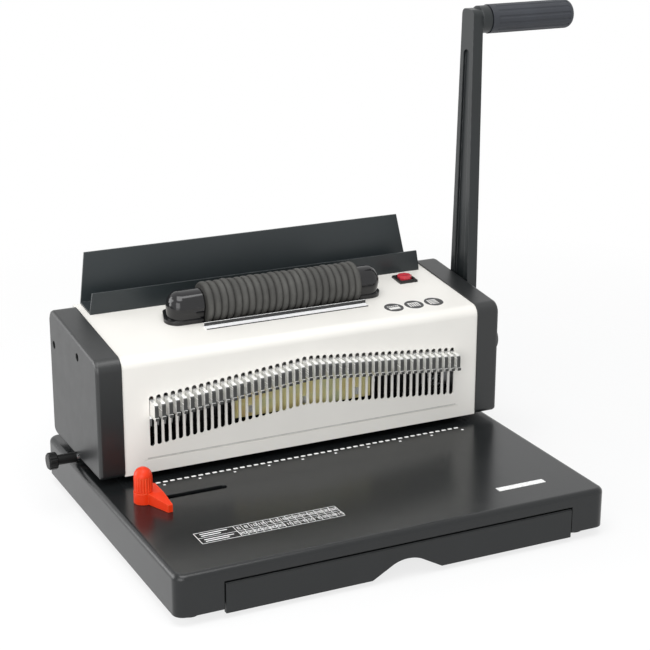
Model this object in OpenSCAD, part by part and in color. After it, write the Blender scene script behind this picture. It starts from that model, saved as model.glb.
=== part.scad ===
// Manual coil binding machine: lever punch with electric coil inserter.
// Millimetres, +X to the right, +Y to the back, +Z up.
// The modules work in the machine's frame: X = 0 at the middle of the punch row,
// Y = 0 at the front face of the white cover, Z = 0 on the desk.

/* [Punch row] */
// Number of holes punched in one stroke
slot_count = 46; // [30:1:47]
// Distance between neighbouring holes
pitch = 6.35; // [6.1:0.05:6.4]
// How much higher the middle of the row stands than its ends
chevron_rise = 13.8; // [8:0.1:15]
// Width of each slot in the white cover
slot_w = 4.1; // [3.8:0.05:4.4]
// Height of each slot in the white cover
slot_h = 44.4; // [44:0.2:48]
// Lower end of the outer slots above the paper table
slot_low = 29; // [28:0.5:32]
// Diameter of a punch pin
pin_d = 4; // [3.4:0.1:4.2]
// Diameter of a punch pin's head
pin_head_d = 5.2; // [4.8:0.1:5.5]
// Height of a punch pin's head
pin_head_h = 3; // [2:0.5:4]
// Punch row behind the face of the white cover
pin_back = 47.5; // [46:0.5:50]
// Thickness of a pin puller
puller_t = 3.4; // [2.8:0.1:3.5]
// Height of a pin puller
puller_h = 14; // [12:0.5:14.5]
// Top of a puller below the top of its slot
puller_drop = 3.5; // [3:0.5:7.5]
// How far a puller stands out of the white cover
puller_reach = 12; // [8:0.5:16]

/* [Body] */
// Width of the white cover between the end covers
cover_w = 336; // [330:1:350]
// Sheet thickness of the white cover and the rear cover
cover_t = 1.2; // [0.8:0.1:1.6]
// Outer radius of the bend between the cover's front and its top
bend_r = 9; // [6:0.5:12]
// Depth of the body, front face to rear face
body_d = 123.5; // [118:0.5:130]
// Front top corner of the body above the paper table
front_h = 108; // [107:0.5:115]
// Rear top corner of the body above the paper table
rear_h = 120.5; // [118:0.5:128]
// Gap between the paper table and the covers
throat = 6; // [5.5:0.5:7]
// Thickness of an end cover
end_t = 22; // [20:0.5:26]
// Wall of an end cover
end_wall = 2.5; // [2:0.25:3.5]
// How far the end covers stand proud of the white cover
end_proud = 1; // [0.5:0.25:2]
// Edge radius of the end covers
end_round = 2.5; // [1.5:0.5:3]
// Thickness of a steel frame plate
frame_t = 4; // [3:0.5:5]

/* [Base] */
// Width of the base
base_w = 382; // [378:1:400]
// Base centre to the side of the punch row's middle
base_shift = -3; // [-5:0.5:0]
// How far the base reaches in front of the white cover
base_front = 181; // [170:1:200]
// How far the base reaches behind the white cover's face
base_back = 133; // [132:1:145]
// Height of the base skirt, lower edge to paper table
base_h = 34; // [33:0.5:38]
// Wall of the base
base_wall = 3; // [2.5:0.25:4]
// Radius of the base's corners, seen from above
base_round = 9; // [6:0.5:12]
// Radius of the edge round the paper table
base_edge = 4.5; // [2:0.5:6]
// Gap between the desk and the base skirt
foot_h = 8; // [7:0.5:12]
// Diameter of a rubber foot
foot_d = 18; // [14:1:20]
// Thickness of the floor plate
floor_t = 1.5; // [1:0.25:2]

/* [Chip drawer] */
// Width of the drawer front
drawer_w = 308; // [304:1:312]
// Height of the drawer front
drawer_h = 25; // [23:0.5:26]
// How far the drawer front hangs below the base skirt
drawer_drop = 3.5; // [2:0.5:5]
// Length of the drawer's tray
tray_l = 242; // [236:1:250]
// Wall of the drawer
tray_wall = 1.8; // [1.4:0.1:2.4]
// Width of the finger cut-out
finger_w = 62; // [50:1:80]
// Height of the finger cut-out
finger_h = 13; // [10:0.5:15]
// Depth of the finger pocket behind the drawer front
pocket_l = 34; // [20:1:40]
// Room for a runner between a frame plate and the drawer's tray
runner_room = 14; // [13:0.5:16]

/* [Punch drive] */
// Lever shaft behind the white cover's face
pivot_back = 76; // [75:0.5:80]
// Lever shaft above the paper table
pivot_up = 48; // [46:0.5:52]
// Diameter of the lever shaft
shaft_d = 14; // [12:0.5:16]
// Gear module of pinion and rack
gear_module = 1.5; // [1.4:0.05:1.55]
// Teeth on the pinion
gear_teeth = 20; // [19:1:20]
// Width of pinion and rack
gear_w = 12; // [8:1:13]
// Lever swing from rest to the end of the stroke, in degrees
lever_swing = 85; // [70:1:86]
// Diameter of a guide post
post_d = 10; // [8:0.5:10.5]
// Guide post centre from the end of the punch row
post_out = 10.2; // [9.5:0.1:10.6]
// Wire diameter of a return spring
spring_wire = 1.6; // [1.2:0.1:1.8]
// Turns of a return spring
spring_turns = 9; // [6:1:10]

/* [Lever] */
// Lever shaft to grip axis
lever_len = 304; // [240:1:340]
// Forward lean of the lever at rest, in degrees
lever_lean = 0.75; // [0:0.25:3]
// Thickness of the lever arm
lever_t = 10; // [8:0.5:14]
// Radius of the arm around the shaft
lever_low_r = 17; // [16:0.5:20]
// Radius of the arm around the grip axis
lever_top_r = 10; // [9:0.5:12]
// Gap between end cover and lever arm
lever_gap = 2; // [1:0.5:4]
// Length of the hub boss on the outside of the arm
hub_l = 26; // [16:1:34]
// Diameter of the grip
grip_d = 26; // [22:1:32]
// Length of the grip
grip_l = 87; // [70:1:110]
// Length of the collar between arm and grip
collar_l = 9; // [6:0.5:12]
// Flutes round the grip
grip_flutes = 14; // [10:1:18]

/* [Coil trough] */
// Length of the trough's floor
trough_l = 322; // [300:1:330]
// Front lip of the trough behind the white cover's face
trough_back = 97; // [96:0.5:100]
// Height of the trough's front lip
lip_h = 19; // [14:0.5:24]
// Height of the trough's back wall
wall_h = 44; // [36:1:52]
// How far the top of the back wall leans back
wall_lean = 6.5; // [3:0.5:7.5]
// How much shorter the back wall's top is at each end
wall_taper = 7.3; // [0:0.1:12]
// Sheet thickness of the trough
trough_t = 1.5; // [1:0.1:2]

/* [Coil inserter] */
// Length of the ribbed sleeve
sleeve_l = 147.6; // [130:0.2:150]
// Outer diameter of the ribbed sleeve
sleeve_d = 37; // [33:0.5:38]
// Ribs on the sleeve
sleeve_ribs = 22; // [18:1:24]
// Roller axis behind the white cover's face
roller_back = 61; // [60:0.5:62]
// Roller axis above the white cover's top
roller_up = 14; // [13:0.5:15]
// Diameter of the roller's shaft
roller_shaft_d = 8; // [6:0.5:9]
// Radius of a roller cap's dome
cap_r = 13; // [12.5:0.25:14]
// Length of the left cap, which covers the belt
left_cap_l = 30; // [29:0.5:34]
// Length of the right cap
right_cap_l = 22; // [20:0.5:26]
// Motor axis behind the white cover's face
motor_back = 78; // [77:0.5:80]
// Motor axis above the paper table
motor_up = 86; // [85:0.5:88]
// Diameter of the inserter motor
motor_d = 30; // [26:1:32]
// Length of the inserter motor
motor_l = 52; // [40:1:60]
// Belt radius on the roller's pulley
roller_belt_r = 7; // [6.5:0.1:7.5]
// Belt radius on the motor's pulley
motor_belt_r = 5; // [4.5:0.1:5.5]
// Width of the flat drive belt
belt_w = 5; // [4:0.5:5.5]
// Thickness of the flat drive belt
belt_t = 1.2; // [0.8:0.1:1.6]

/* [Switch] */
// Switch centre to the right of the punch row's middle
switch_x = 136.5; // [130:0.5:145]
// Switch centre behind the white cover's face
switch_back = 79; // [75:0.5:82]
// Width of the switch bezel
bezel_w = 18; // [17:0.5:22]
// Depth of the switch bezel
bezel_d = 17; // [15:0.5:19]

/* [Paper guides] */
// Edge guide knob's centre from the punch row's middle, at rest
guide_x = -167; // [-170:0.5:-160]
// Edge guide's slot in front of the white cover
guide_front = 41; // [38:0.5:46]
// Travel of the edge guide along its slot
guide_travel = 66; // [50:1:80]
// Diameter of the edge guide's knob at its foot
guide_knob_d = 15.3; // [14:0.1:18]
// Height of the edge guide's knob
guide_knob_h = 20.5; // [18:0.5:26]
// Thickness of the edge guide's foot
guide_foot_h = 9.5; // [8:0.5:11]
// Least distance from hole centre to paper edge
margin_least = 3.5; // [3.4:0.1:4]
// Depth bar's axis behind the punch row
depth_back = 13; // [12:0.5:14]
// Depth bar's axis above the paper table
depth_up = 5.4; // [5:0.1:6]
// Offset of the depth bar from the axis it turns on
depth_offset = 1.25; // [0.75:0.05:1.5]
// Diameter of the depth knob
depth_knob_d = 15; // [12:0.5:18]
// How far the depth knob stands out of the left end cover
depth_knob_reach = 26; // [20:0.5:32]

/* [Fits] */
// Clearance round a shaft, pin or post that runs in a hole
run_fit = 0.05; // [0.02:0.01:0.08]
// Clearance round a pressed or screwed piece
press_gap = 0.02; // [0.01:0.01:0.05]
// Gap between pieces that slide or pass each other
slide_gap = 0.3; // [0.25:0.05:0.35]

/* [Hidden] */
$fn = 48;

// Levels
base_top = foot_h + base_h;
cover_low = base_top + throat;
front_top = base_top + front_h;
rear_top = base_top + rear_h;
slope = (rear_top - front_top) / body_d;
slope_a = atan(slope);
function top_z(y) = front_top + slope * y;

// Punch row
row_half = (slot_count - 1) / 2 * pitch;
function slot_x(i) = (i - (slot_count - 1) / 2) * pitch;
function rise_at(x) = chevron_rise * max(0, 1 - abs(x) / row_half);
slot_bottom = base_top + slot_low;
slot_top = slot_bottom + slot_h;
puller_top = slot_top - puller_drop;
puller_low = puller_top - puller_h;

// Sideways
cover_half = cover_w / 2;
end_out = cover_half + end_t;
frame_in = cover_half - frame_t;
base_x0 = base_shift - base_w / 2;
base_x1 = base_shift + base_w / 2;

// Punch stroke
gear_r = gear_module * gear_teeth / 2;
pivot_z = base_top + pivot_up;
stroke = gear_r * lever_swing * PI / 180;
guide_low = base_top + throat - 1;
guide_top = guide_low + 15;
guide_lip = 5;
tip_z = guide_low + 0.5;
beam_low = guide_top + stroke + 1.5;
beam_top = puller_top + slide_gap + 9.5;
beam_half_d = 9.5;
guide_half_d = 9;
beam_front = pin_back - beam_half_d;
beam_rear = pin_back + beam_half_d;
beam_half_w = frame_in - 3;
post_x = row_half + post_out;
post_top_z = beam_top + chevron_rise + 11;
tie_rear = pin_back + 14;
puller_rear = pin_back + pin_head_d / 2 + 1.5;
seat_r = post_d / 2 + 0.7 + spring_wire + 0.5;
spring_low = guide_top - 8;
spring_high = beam_low + 26;
spring_r = post_d / 2 + 0.7 + spring_wire / 2;
rack_line = pivot_back - gear_r;

// Depth bar
depth_y = pin_back + depth_back;
depth_z = base_top + depth_up;
depth_reach = depth_back - margin_least;
depth_bar_r = depth_reach - depth_offset;
depth_journal_r = 4;
depth_neck_r = 3.5;

// Die
window_y0 = 28;
window_y1 = 112;
window_half = cover_half + 3;
die_t = 8;
die_front = window_y0 + slide_gap;
die_rear = depth_y - sqrt(depth_reach * depth_reach - depth_up * depth_up) - 0.4;

// Floor and drawer
floor_z = foot_h + 0.5;
floor_top = floor_z + floor_t;
drawer_low = foot_h - drawer_drop;
drawer_top = drawer_low + drawer_h;
drawer_proud = 0.5;
drawer_face_t = 4;
tray_half = frame_in - runner_room;
drawer_hole = max(drawer_w / 2, tray_half) + 1;
tray_front = -base_front - drawer_proud + drawer_face_t;
tray_rear = tray_front + tray_l;
tray_side_top = drawer_top - 0.7;
tray_rear_top = tip_z - stroke - 2;

// Lever
lever_x0 = end_out + lever_gap;
lever_x1 = lever_x0 + lever_t;
hub_r = lever_low_r - 3;
collar_r = grip_d / 2 - 0.7;
grip_x0 = lever_x1 + collar_l + 0.8;
grip_x1 = grip_x0 + grip_l;
grip_axle_r = 4;

// Coil inserter
sleeve_half = sleeve_l / 2;
roller_cut = sqrt(sleeve_d * sleeve_d / 4 - roller_up * roller_up) + 2.7;
cap_gap = 1.2;
bush_r = 8;
belt_x = -(sleeve_half + cap_gap + 15);
pulley_w = 7;
roller_y = roller_back - roller_up * sin(slope_a);
roller_z = top_z(roller_back) + roller_up * cos(slope_a);
motor_z = base_top + motor_up;
bracket_t = 2;
bracket_x = belt_x + 8;

// Fasteners
screw_r = 2;
screw_head_r = 3.2;
screw_head_h = 2.2;
tap_l = 5;
bolt_grip = 5;
end_screws = [[body_d - 11.6, base_top + 90.5], [pin_back, base_top + 99.5]];
floor_bosses = [
    for (s = [-1, 1]) each [
        [base_shift + s * (base_w / 2 - 15), -base_front + 48],
        [base_shift + s * (base_w / 2 - 45), base_back - 13]
    ]
];
feet_at = [
    for (x = [base_x0 + 18, base_x1 - 18], y = [-base_front + 21, base_back - 17]) [x, y]
];
flange_screws = [[cover_half + 8, window_y0 + 16], [cover_half + 8, window_y1 - 16]];

// The frame's origin is the bottom centre of the whole machine's box
centre_x = (grip_x1 - end_out - depth_knob_reach) / 2;
centre_y = (base_back - base_front - drawer_proud) / 2;
module placed() translate([-centre_x, -centre_y, 0]) children();

// Shared shapes

// A profile drawn in Y and Z, carried along X
module along_x(x0, x1) translate([x0, 0, 0]) rotate([90, 0, 90]) linear_extrude(x1 - x0) children();

// A profile drawn in X and Z, carried along Y
module along_y(y0, y1) translate([0, y1, 0]) rotate([90, 0, 0]) linear_extrude(y1 - y0) children();

module box(a, b) translate(a) cube(b - a);

module rod_x(x0, x1, y, z, r) translate([x0, y, z]) rotate([0, 90, 0]) cylinder(r = r, h = x1 - x0);

module rod_y(y0, y1, x, z, r) translate([x, y1, z]) rotate([90, 0, 0]) cylinder(r = r, h = y1 - y0);

module rod_z(z0, z1, x, y, r) translate([x, y, z0]) cylinder(r = r, h = z1 - z0);

// A place on the sloping top of the white cover, with Z square to the sheet
module on_top(x, y) translate([x, y, top_z(y)]) rotate([slope_a, 0, 0]) children();

module both_sides() {
    children();
    mirror([1, 0, 0]) children();
}

// A slot with round ends, upright, from its lower to its upper end
module round_slot(w, h) {
    translate([-w / 2, w / 2]) square([w, h - w]);
    translate([0, w / 2]) circle(d = w);
    translate([0, h - w / 2]) circle(d = w);
}

// A bar whose lower and upper edges follow the punch row's chevron
module chevron(half, low, high) {
    polygon([
        [-half, low], [-row_half, low], [0, low + chevron_rise], [row_half, low], [half, low],
        [half, high], [row_half, high], [0, high + chevron_rise], [-row_half, high], [-half, high]
    ]);
}

// Pan-head screw along +Z with its head's underside at Z = 0 and the shank below it
module screw(shank) {
    difference() {
        cylinder(r = screw_head_r, h = screw_head_h);
        translate([0, 0, screw_head_h - 1]) box([-2, -0.4, 0], [2, 0.4, 2]);
        translate([0, 0, screw_head_h - 1]) box([-0.4, -2, 0], [0.4, 2, 2]);
    }
    translate([0, 0, -shank]) cylinder(r = screw_r, h = shank);
}

// Involute gear outline with its tooth gap facing -X
function inv_deg(r, rb) = let (a = acos(rb / r)) tan(a) * 180 / PI - a;
function tooth_half(r, rb) =
    90 / gear_teeth - 3.6 / gear_teeth + inv_deg(gear_r, rb) - inv_deg(max(r, rb), rb);
function polar(r, a) = [r * cos(a), r * sin(a)];
module gear_outline() {
    rb = gear_r * cos(20);
    root = gear_r - 1.25 * gear_module;
    tip = gear_r + 0.95 * gear_module;
    radii = [root, rb + 0.01, (rb + gear_r) / 2, gear_r, (gear_r + tip) / 2, tip];
    step = 360 / gear_teeth;
    polygon([
        for (k = [0:gear_teeth - 1])
            let (mid = 180 + (k + 0.5) * step)
            each concat(
                [for (r = radii) polar(r, mid - tooth_half(r, rb))],
                [for (j = [len(radii) - 1:-1:0]) polar(radii[j], mid + tooth_half(radii[j], rb))]
            )
    ]);
}

// Rack outline in Y and Z: teeth point to +Y, one tooth level with the shaft at rest
module rack_outline() {
    step = PI * gear_module;
    half = step / 4 - 0.12;
    flank = tan(20);
    add = 0.9 * gear_module;
    ded = 1.25 * gear_module;
    below = floor(14 / step);
    above = floor((stroke + 14) / step);
    z0 = pivot_z - (below + 0.5) * step;
    z1 = pivot_z + (above + 0.5) * step;
    polygon(concat(
        [[beam_rear, z0]],
        [
            for (k = [-below:above])
                let (c = pivot_z + k * step)
                each [
                    [rack_line - ded, c - half - ded * flank],
                    [rack_line + add, c - half + add * flank],
                    [rack_line + add, c + half - add * flank],
                    [rack_line - ded, c + half + ded * flank]
                ]
        ],
        [[beam_rear, z1]]
    ));
}

// Base

module base_block() {
    r = base_round;
    e = base_edge;
    hull() {
        for (x = [base_x0 + r, base_x1 - r], y = [-base_front + r, base_back - r]) {
            translate([x, y, base_top - e]) rotate_extrude($fn = 32)
                translate([r - e, 0]) circle(r = e, $fn = 24);
            translate([x, y, foot_h]) cylinder(r = r, h = 1, $fn = 32);
        }
    }
}

module base_pan() {
    color([0.05, 0.05, 0.055]) difference() {
        base_block();
        difference() {
            box(
                [base_x0 + base_wall, -base_front + base_wall, foot_h - 1],
                [base_x1 - base_wall, base_back - base_wall, base_top - base_wall]
            );
            for (p = floor_bosses) rod_z(floor_top, base_top, p[0], p[1], 6);
        }
        for (p = floor_bosses) rod_z(foot_h, base_top - 8, p[0], p[1], screw_r + press_gap);
        box([-window_half, window_y0, base_top - 10], [window_half, window_y1, base_top + 1]);
        box(
            [-drawer_hole, -base_front - 1, foot_h - 1],
            [drawer_hole, -base_front + base_wall + 1, drawer_top + 1.6]
        );
        translate([guide_x, -guide_front, base_top - base_wall - 1]) linear_extrude(base_wall + 2)
            rotate(-90) translate([0, -guide_slot_end])
                round_slot(guide_slot_w, guide_travel + 2 * guide_slot_end);
    }
}

module base_floor() {
    color([0.1, 0.1, 0.1]) difference() {
        box(
            [base_x0 + base_wall + 0.5, tray_front + 5, floor_z],
            [base_x1 - base_wall - 0.5, base_back - base_wall - 0.5, floor_top]
        );
        for (p = floor_bosses) rod_z(floor_z - 1, floor_top + 1, p[0], p[1], screw_r + press_gap);
        for (p = feet_at) rod_z(floor_z - 1, floor_top + 1, p[0], p[1], 3 + press_gap);
        translate([finger_x, 0, 0]) box(
            [-finger_w / 2 - 6, tray_front, floor_z - 1],
            [finger_w / 2 + 6, tray_front + pocket_l + 6, floor_top + 1]
        );
        both_sides() for (p = flange_screws)
            rod_z(floor_z - 1, floor_top + 1, p[0], p[1], screw_r + press_gap);
    }
}

module rubber_feet() {
    color([0.06, 0.06, 0.06]) for (p = feet_at) translate([p[0], p[1], 0]) rotate_extrude()
        polygon([
            [0, 0], [foot_d / 2 - 1, 0], [foot_d / 2, 1], [foot_d / 2 - 1, floor_z],
            [3, floor_z], [3, floor_top + 1.5], [0, floor_top + 1.5]
        ]);
}

module drawer_runners() {
    rail = tray_half + 2 * slide_gap;
    color([0.7, 0.71, 0.72]) both_sides() {
        box([rail, tray_front + 12, floor_top], [rail + 1.5, tray_rear - 4, floor_top + 14]);
        box([rail + 1.5, tray_front + 12, floor_top], [rail + 11, tray_rear - 4, floor_top + 1.5]);
    }
}

// Finger cut-out under the drawer front: sloping sides and a crowned top
finger_x = 1;
module finger_outline() {
    shoulder = finger_h - 2.5;
    crown_half = finger_w / 2 - 19;
    crown_r = (crown_half * crown_half + 2.5 * 2.5) / 5;
    polygon([[-finger_w / 2, 0], [finger_w / 2, 0], [crown_half, shoulder], [-crown_half, shoulder]]);
    intersection() {
        translate([0, finger_h - crown_r]) circle(r = crown_r, $fn = 96);
        translate([-crown_half, shoulder - 1]) square([2 * crown_half, 6]);
    }
}

// Shell of the finger pocket, seen from the front
module pocket_outline() {
    top_half = finger_w / 2 - 14;
    polygon([
        [-finger_w / 2 - tray_wall, floor_top + slide_gap - drawer_low],
        [finger_w / 2 + tray_wall, floor_top + slide_gap - drawer_low],
        [top_half, finger_h + tray_wall], [-top_half, finger_h + tray_wall]
    ]);
}

module chip_drawer() {
    face = -base_front - drawer_proud;
    low = floor_top + slide_gap;
    pocket_rear = tray_front + pocket_l;
    color([0.06, 0.06, 0.065]) difference() {
        union() {
            difference() {
                along_y(face, tray_front)
                    translate([-drawer_w / 2, drawer_low]) square([drawer_w, drawer_h]);
                box([-drawer_w, face - 1, drawer_top - 0.8], [drawer_w, face + 0.8, drawer_top + 1]);
            }
            difference() {
                box([-tray_half, tray_front, low], [tray_half, tray_rear, tray_side_top]);
                box(
                    [-tray_half + tray_wall, tray_front, low + tray_wall],
                    [tray_half - tray_wall, tray_rear - tray_wall, tray_side_top + 1]
                );
                box(
                    [-tray_half + tray_wall, tray_rear - 2 * tray_wall, tray_rear_top],
                    [tray_half - tray_wall, tray_rear + 1, tray_side_top + 1]
                );
            }
            along_y(tray_front, pocket_rear + tray_wall) translate([finger_x, drawer_low]) pocket_outline();
        }
        along_y(face - 1, pocket_rear) translate([finger_x, drawer_low]) finger_outline();
    }
}

// Frame and dies

module frame_outline() {
    rear = body_d - cover_t;
    leg0 = window_y0 + 4;
    leg1 = window_y1 - 4;
    shelf = cover_low + 2;
    polygon([
        [leg0, floor_top], [leg1, floor_top], [leg1, shelf], [rear, shelf],
        [rear, top_z(rear) - cover_t / cos(slope_a)],
        [bend_r + 4, top_z(bend_r + 4) - cover_t / cos(slope_a)],
        [cover_t, front_top - bend_r - 4], [cover_t, shelf], [leg0, shelf]
    ]);
}

// Steel side plate with a foot flange turned outwards and a rear flange turned inwards
module frame_plate() {
    rear = body_d - cover_t;
    difference() {
        union() {
            along_x(frame_in, cover_half) frame_outline();
            box([frame_in, window_y0 + 4, floor_top], [cover_half + 13, window_y1 - 4, floor_top + 2.5]);
            box([frame_in - 12, rear - 2.5, cover_low + 2], [frame_in, rear, rear_top - 9]);
        }
        for (p = flange_screws) rod_z(floor_top - 1, floor_top + 3, p[0], p[1], screw_r + press_gap);
        for (z = rear_screw_z) rod_y(rear - 3, rear + 1, rear_screw_x, z, screw_r + press_gap);
        rod_x(frame_in - 1, cover_half + 1, pivot_back, pivot_z, shaft_d / 2 + 2 + press_gap);
        rod_x(frame_in - 1, cover_half + 1, depth_y, depth_z, depth_journal_r + run_fit);
        for (p = frame_screw_at) rod_x(frame_in - 1, cover_half + 1, p[0], p[1], screw_r + press_gap);
        for (p = end_screws) rod_x(frame_in - 1, cover_half + 1, p[0], p[1], screw_r + press_gap);
    }
}

module left_frame_plate() color([0.75, 0.76, 0.77]) mirror([1, 0, 0]) frame_plate();

module right_frame_plate() color([0.75, 0.76, 0.77]) frame_plate();

// Screws through the frame plates into die, guide and tie bar
frame_screw_at = [
    [die_front + 6, base_top - die_t / 2],
    [pin_back - 6, guide_low + 8],
    [tie_rear - 3.7, post_top_z - 4]
];

module pin_bores(low, high, r) {
    for (i = [0:slot_count - 1]) rod_z(low, high, slot_x(i), pin_back, r);
}

module post_bores(low, high, r) {
    for (s = [-1, 1]) rod_z(low, high, s * post_x, pin_back, r);
}

module end_taps() {
    both_sides() for (p = frame_screw_at)
        rod_x(frame_in - tap_l, frame_in + 1, p[0], p[1], screw_r + press_gap);
}

module lower_die() {
    color([0.62, 0.63, 0.65]) difference() {
        box([-frame_in, die_front, base_top - die_t], [frame_in, die_rear, base_top]);
        pin_bores(base_top - die_t - 1, base_top + 1, pin_d / 2 + run_fit);
        pin_bores(base_top - die_t - 1, base_top - die_t + 4, pin_d / 2 + 0.5);
        post_bores(base_top - die_t - 1, base_top + 1, post_d / 2 + press_gap);
        end_taps();
    }
}

module punch_guide() {
    lip_front = cover_t + 2;
    color([0.2, 0.2, 0.21]) difference() {
        union() {
            along_y(pin_back - guide_half_d, pin_back + guide_half_d) polygon([
                [-frame_in, guide_low], [frame_in, guide_low], [frame_in, guide_top], [row_half, guide_top],
                [0, guide_top + chevron_rise], [-row_half, guide_top], [-frame_in, guide_top]
            ]);
            box([-frame_in, lip_front, guide_low], [frame_in, pin_back, guide_low + guide_lip]);
        }
        box(
            [-frame_in - 1, depth_y - depth_reach - 0.4, guide_low - 1],
            [frame_in + 1, depth_y, depth_z + depth_reach + 0.4]
        );
        pin_bores(guide_low - 1, guide_top + chevron_rise + 1, pin_d / 2 + run_fit);
        post_bores(guide_low - 1, guide_top + 1, post_d / 2 + press_gap);
        post_bores(spring_low, guide_top + 1, seat_r);
        end_taps();
    }
}

module guide_posts() {
    color([0.8, 0.81, 0.82]) post_bores(base_top - die_t, post_top_z, post_d / 2);
}

module top_tie_bar() {
    color([0.3, 0.3, 0.31]) difference() {
        box([-frame_in, pin_back - 8, post_top_z - 8], [frame_in, tie_rear, post_top_z]);
        post_bores(post_top_z - 9, post_top_z + 1, post_d / 2 + press_gap);
        end_taps();
    }
}

// Return springs: one unbroken helical tube each, round the guide posts

spring_sides = 6;
spring_rings = 12;
spring_steps = spring_turns * spring_rings;
function spring_point(k) = let (a = 360 * k / spring_rings) [
    spring_r * cos(a), spring_r * sin(a),
    spring_low + spring_wire / 2 + 0.1 + (spring_high - spring_low - spring_wire - 0.2) * k / spring_steps
];
function spring_vertex(k, j) =
    let (a = 360 * k / spring_rings, b = 360 * j / spring_sides, c = spring_point(k))
    c + spring_wire / 2 * [cos(b) * cos(a), cos(b) * sin(a), sin(b)];
spring_gap = min([
    for (k = [0:spring_rings], m = [-2:2])
        norm(spring_point(k + spring_rings + m) - spring_point(k)) - spring_wire
]);
echo(str("Return spring: least gap between turns ", spring_gap, " mm"));

module spring_tube() {
    n = spring_sides;
    polyhedron(
        points = [for (k = [0:spring_steps], j = [0:n - 1]) spring_vertex(k, j)],
        faces = concat(
            [for (j = [1:n - 2]) [0, j, j + 1]],
            [
                for (k = [0:spring_steps - 1], j = [0:n - 1])
                    let (a = k * n + j, b = k * n + (j + 1) % n)
                    each [[a, a + n, b], [b, a + n, b + n]]
            ],
            [for (j = [1:n - 2]) [spring_steps * n, spring_steps * n + j + 1, spring_steps * n + j]]
        )
    );
}

module return_springs() {
    color([0.78, 0.79, 0.8]) for (s = [-1, 1]) translate([s * post_x, pin_back, 0]) spring_tube();
}

// Press beam with its pins and pullers

module press_beam() {
    head_low = puller_low - pin_head_h;
    color([0.16, 0.16, 0.17]) difference() {
        union() {
            along_y(beam_front, beam_rear) chevron(beam_half_w, beam_low, beam_top);
            for (x = bolt_x) beam_lug(x);
        }
        for (i = [0:slot_count - 1]) {
            x = slot_x(i);
            r = rise_at(x);
            w = puller_t / 2 + 0.2;
            box(
                [x - w, beam_front - 1, puller_low + r - 0.1],
                [x + w, puller_rear + slide_gap, puller_top + r + slide_gap]
            );
            rod_z(beam_low - 1, head_low + r + 1, x, pin_back, pin_d / 2 + 0.1);
            rod_z(head_low + r, puller_low + r + 1, x, pin_back, pin_head_d / 2 + 0.1);
        }
        for (x = bolt_x)
            rod_y(plate_front, plate_front + plate_t + bolt_grip, x, bolt_z, screw_r + press_gap);
        post_bores(beam_low - 1, beam_top + 1, post_d / 2 + run_fit);
        post_bores(beam_low - 1, spring_high, seat_r);
    }
}

module beam_racks() {
    color([0.55, 0.56, 0.58]) both_sides()
        along_x(post_x - gear_w / 2, post_x + gear_w / 2) rack_outline();
}

// Plate in front of the beam that keeps the pins in line: it stands on three lugs, close behind the
// slots, with a narrow tail to the right
plate_t = 2.5;
plate_front = cover_t + 6.8;
plate_low = guide_low + guide_lip + stroke + 5.7;
plate_half = 10.2 * pitch;
tail_right = 16.6 * pitch;
tail_h = 5;
bolt_x = [-8 * pitch, 0, 8 * pitch];
bolt_z = plate_low + 7;
function plate_top(x) = puller_low - 1 + rise_at(x);

// One lug of the beam, from its face out to the plate; its foot ends short of the punch guide
module beam_lug(x) {
    root = beam_low + rise_at(x) + 0.6;
    low = bolt_z - 4.5;
    along_x(x - 5.5, x + 5.5) polygon([
        [plate_front + plate_t, low], [beam_front - 2, low], [beam_front - 2, root], [beam_front + 1, root],
        [beam_front + 1, plate_top(x) - 1], [plate_front + plate_t, plate_top(x) - 1]
    ]);
}

module beam_stiffener() {
    color([0.8, 0.66, 0.3]) difference() {
        along_y(plate_front, plate_front + plate_t) polygon([
            [-plate_half, plate_low], [plate_half, plate_low], [plate_half, plate_top(plate_half) - tail_h],
            [tail_right, plate_top(tail_right) - tail_h], [tail_right, plate_top(tail_right)],
            [0, plate_top(0)], [-plate_half, plate_top(plate_half)]
        ]);
        for (x = bolt_x)
            rod_y(plate_front - 1, plate_front + plate_t + 1, x, bolt_z, screw_r + press_gap);
    }
}

module beam_bolts() {
    color([0.7, 0.71, 0.72]) for (x = bolt_x)
        translate([x, plate_front, bolt_z]) rotate([90, 0, 0]) screw(plate_t + bolt_grip);
}

module punch_pins() {
    color([0.7, 0.71, 0.73]) for (i = [0:slot_count - 1]) {
        x = slot_x(i);
        r = rise_at(x);
        translate([x, pin_back, r]) rotate_extrude() polygon([
            [0, tip_z], [pin_d / 2, tip_z], [pin_d / 2, puller_low - pin_head_h],
            [pin_head_d / 2, puller_low - pin_head_h], [pin_head_d / 2, puller_low - 0.2],
            [0, puller_low - 0.2]
        ]);
    }
}

// Flat steel puller with a rounded nose and a small foot under its front end
module puller(i) {
    x = slot_x(i);
    low = puller_low + rise_at(x);
    nose = 3;
    translate([0, 0, low]) along_x(x - puller_t / 2, x + puller_t / 2) {
        translate([-puller_reach, 0]) square([puller_rear + puller_reach, puller_h - nose]);
        translate([-puller_reach + nose, 0]) square([puller_rear + puller_reach - nose, puller_h]);
        translate([-puller_reach + nose, puller_h - nose]) circle(r = nose);
        translate([-puller_reach - 1.5, 0]) square([3, 2.5]);
    }
}

module pin_pullers() color([0.72, 0.73, 0.74]) for (i = [1:slot_count - 2]) puller(i);

module left_end_puller() color([0.72, 0.73, 0.74]) puller(0);

module right_end_puller() color([0.72, 0.73, 0.74]) puller(slot_count - 1);

// Punch drive

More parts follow.
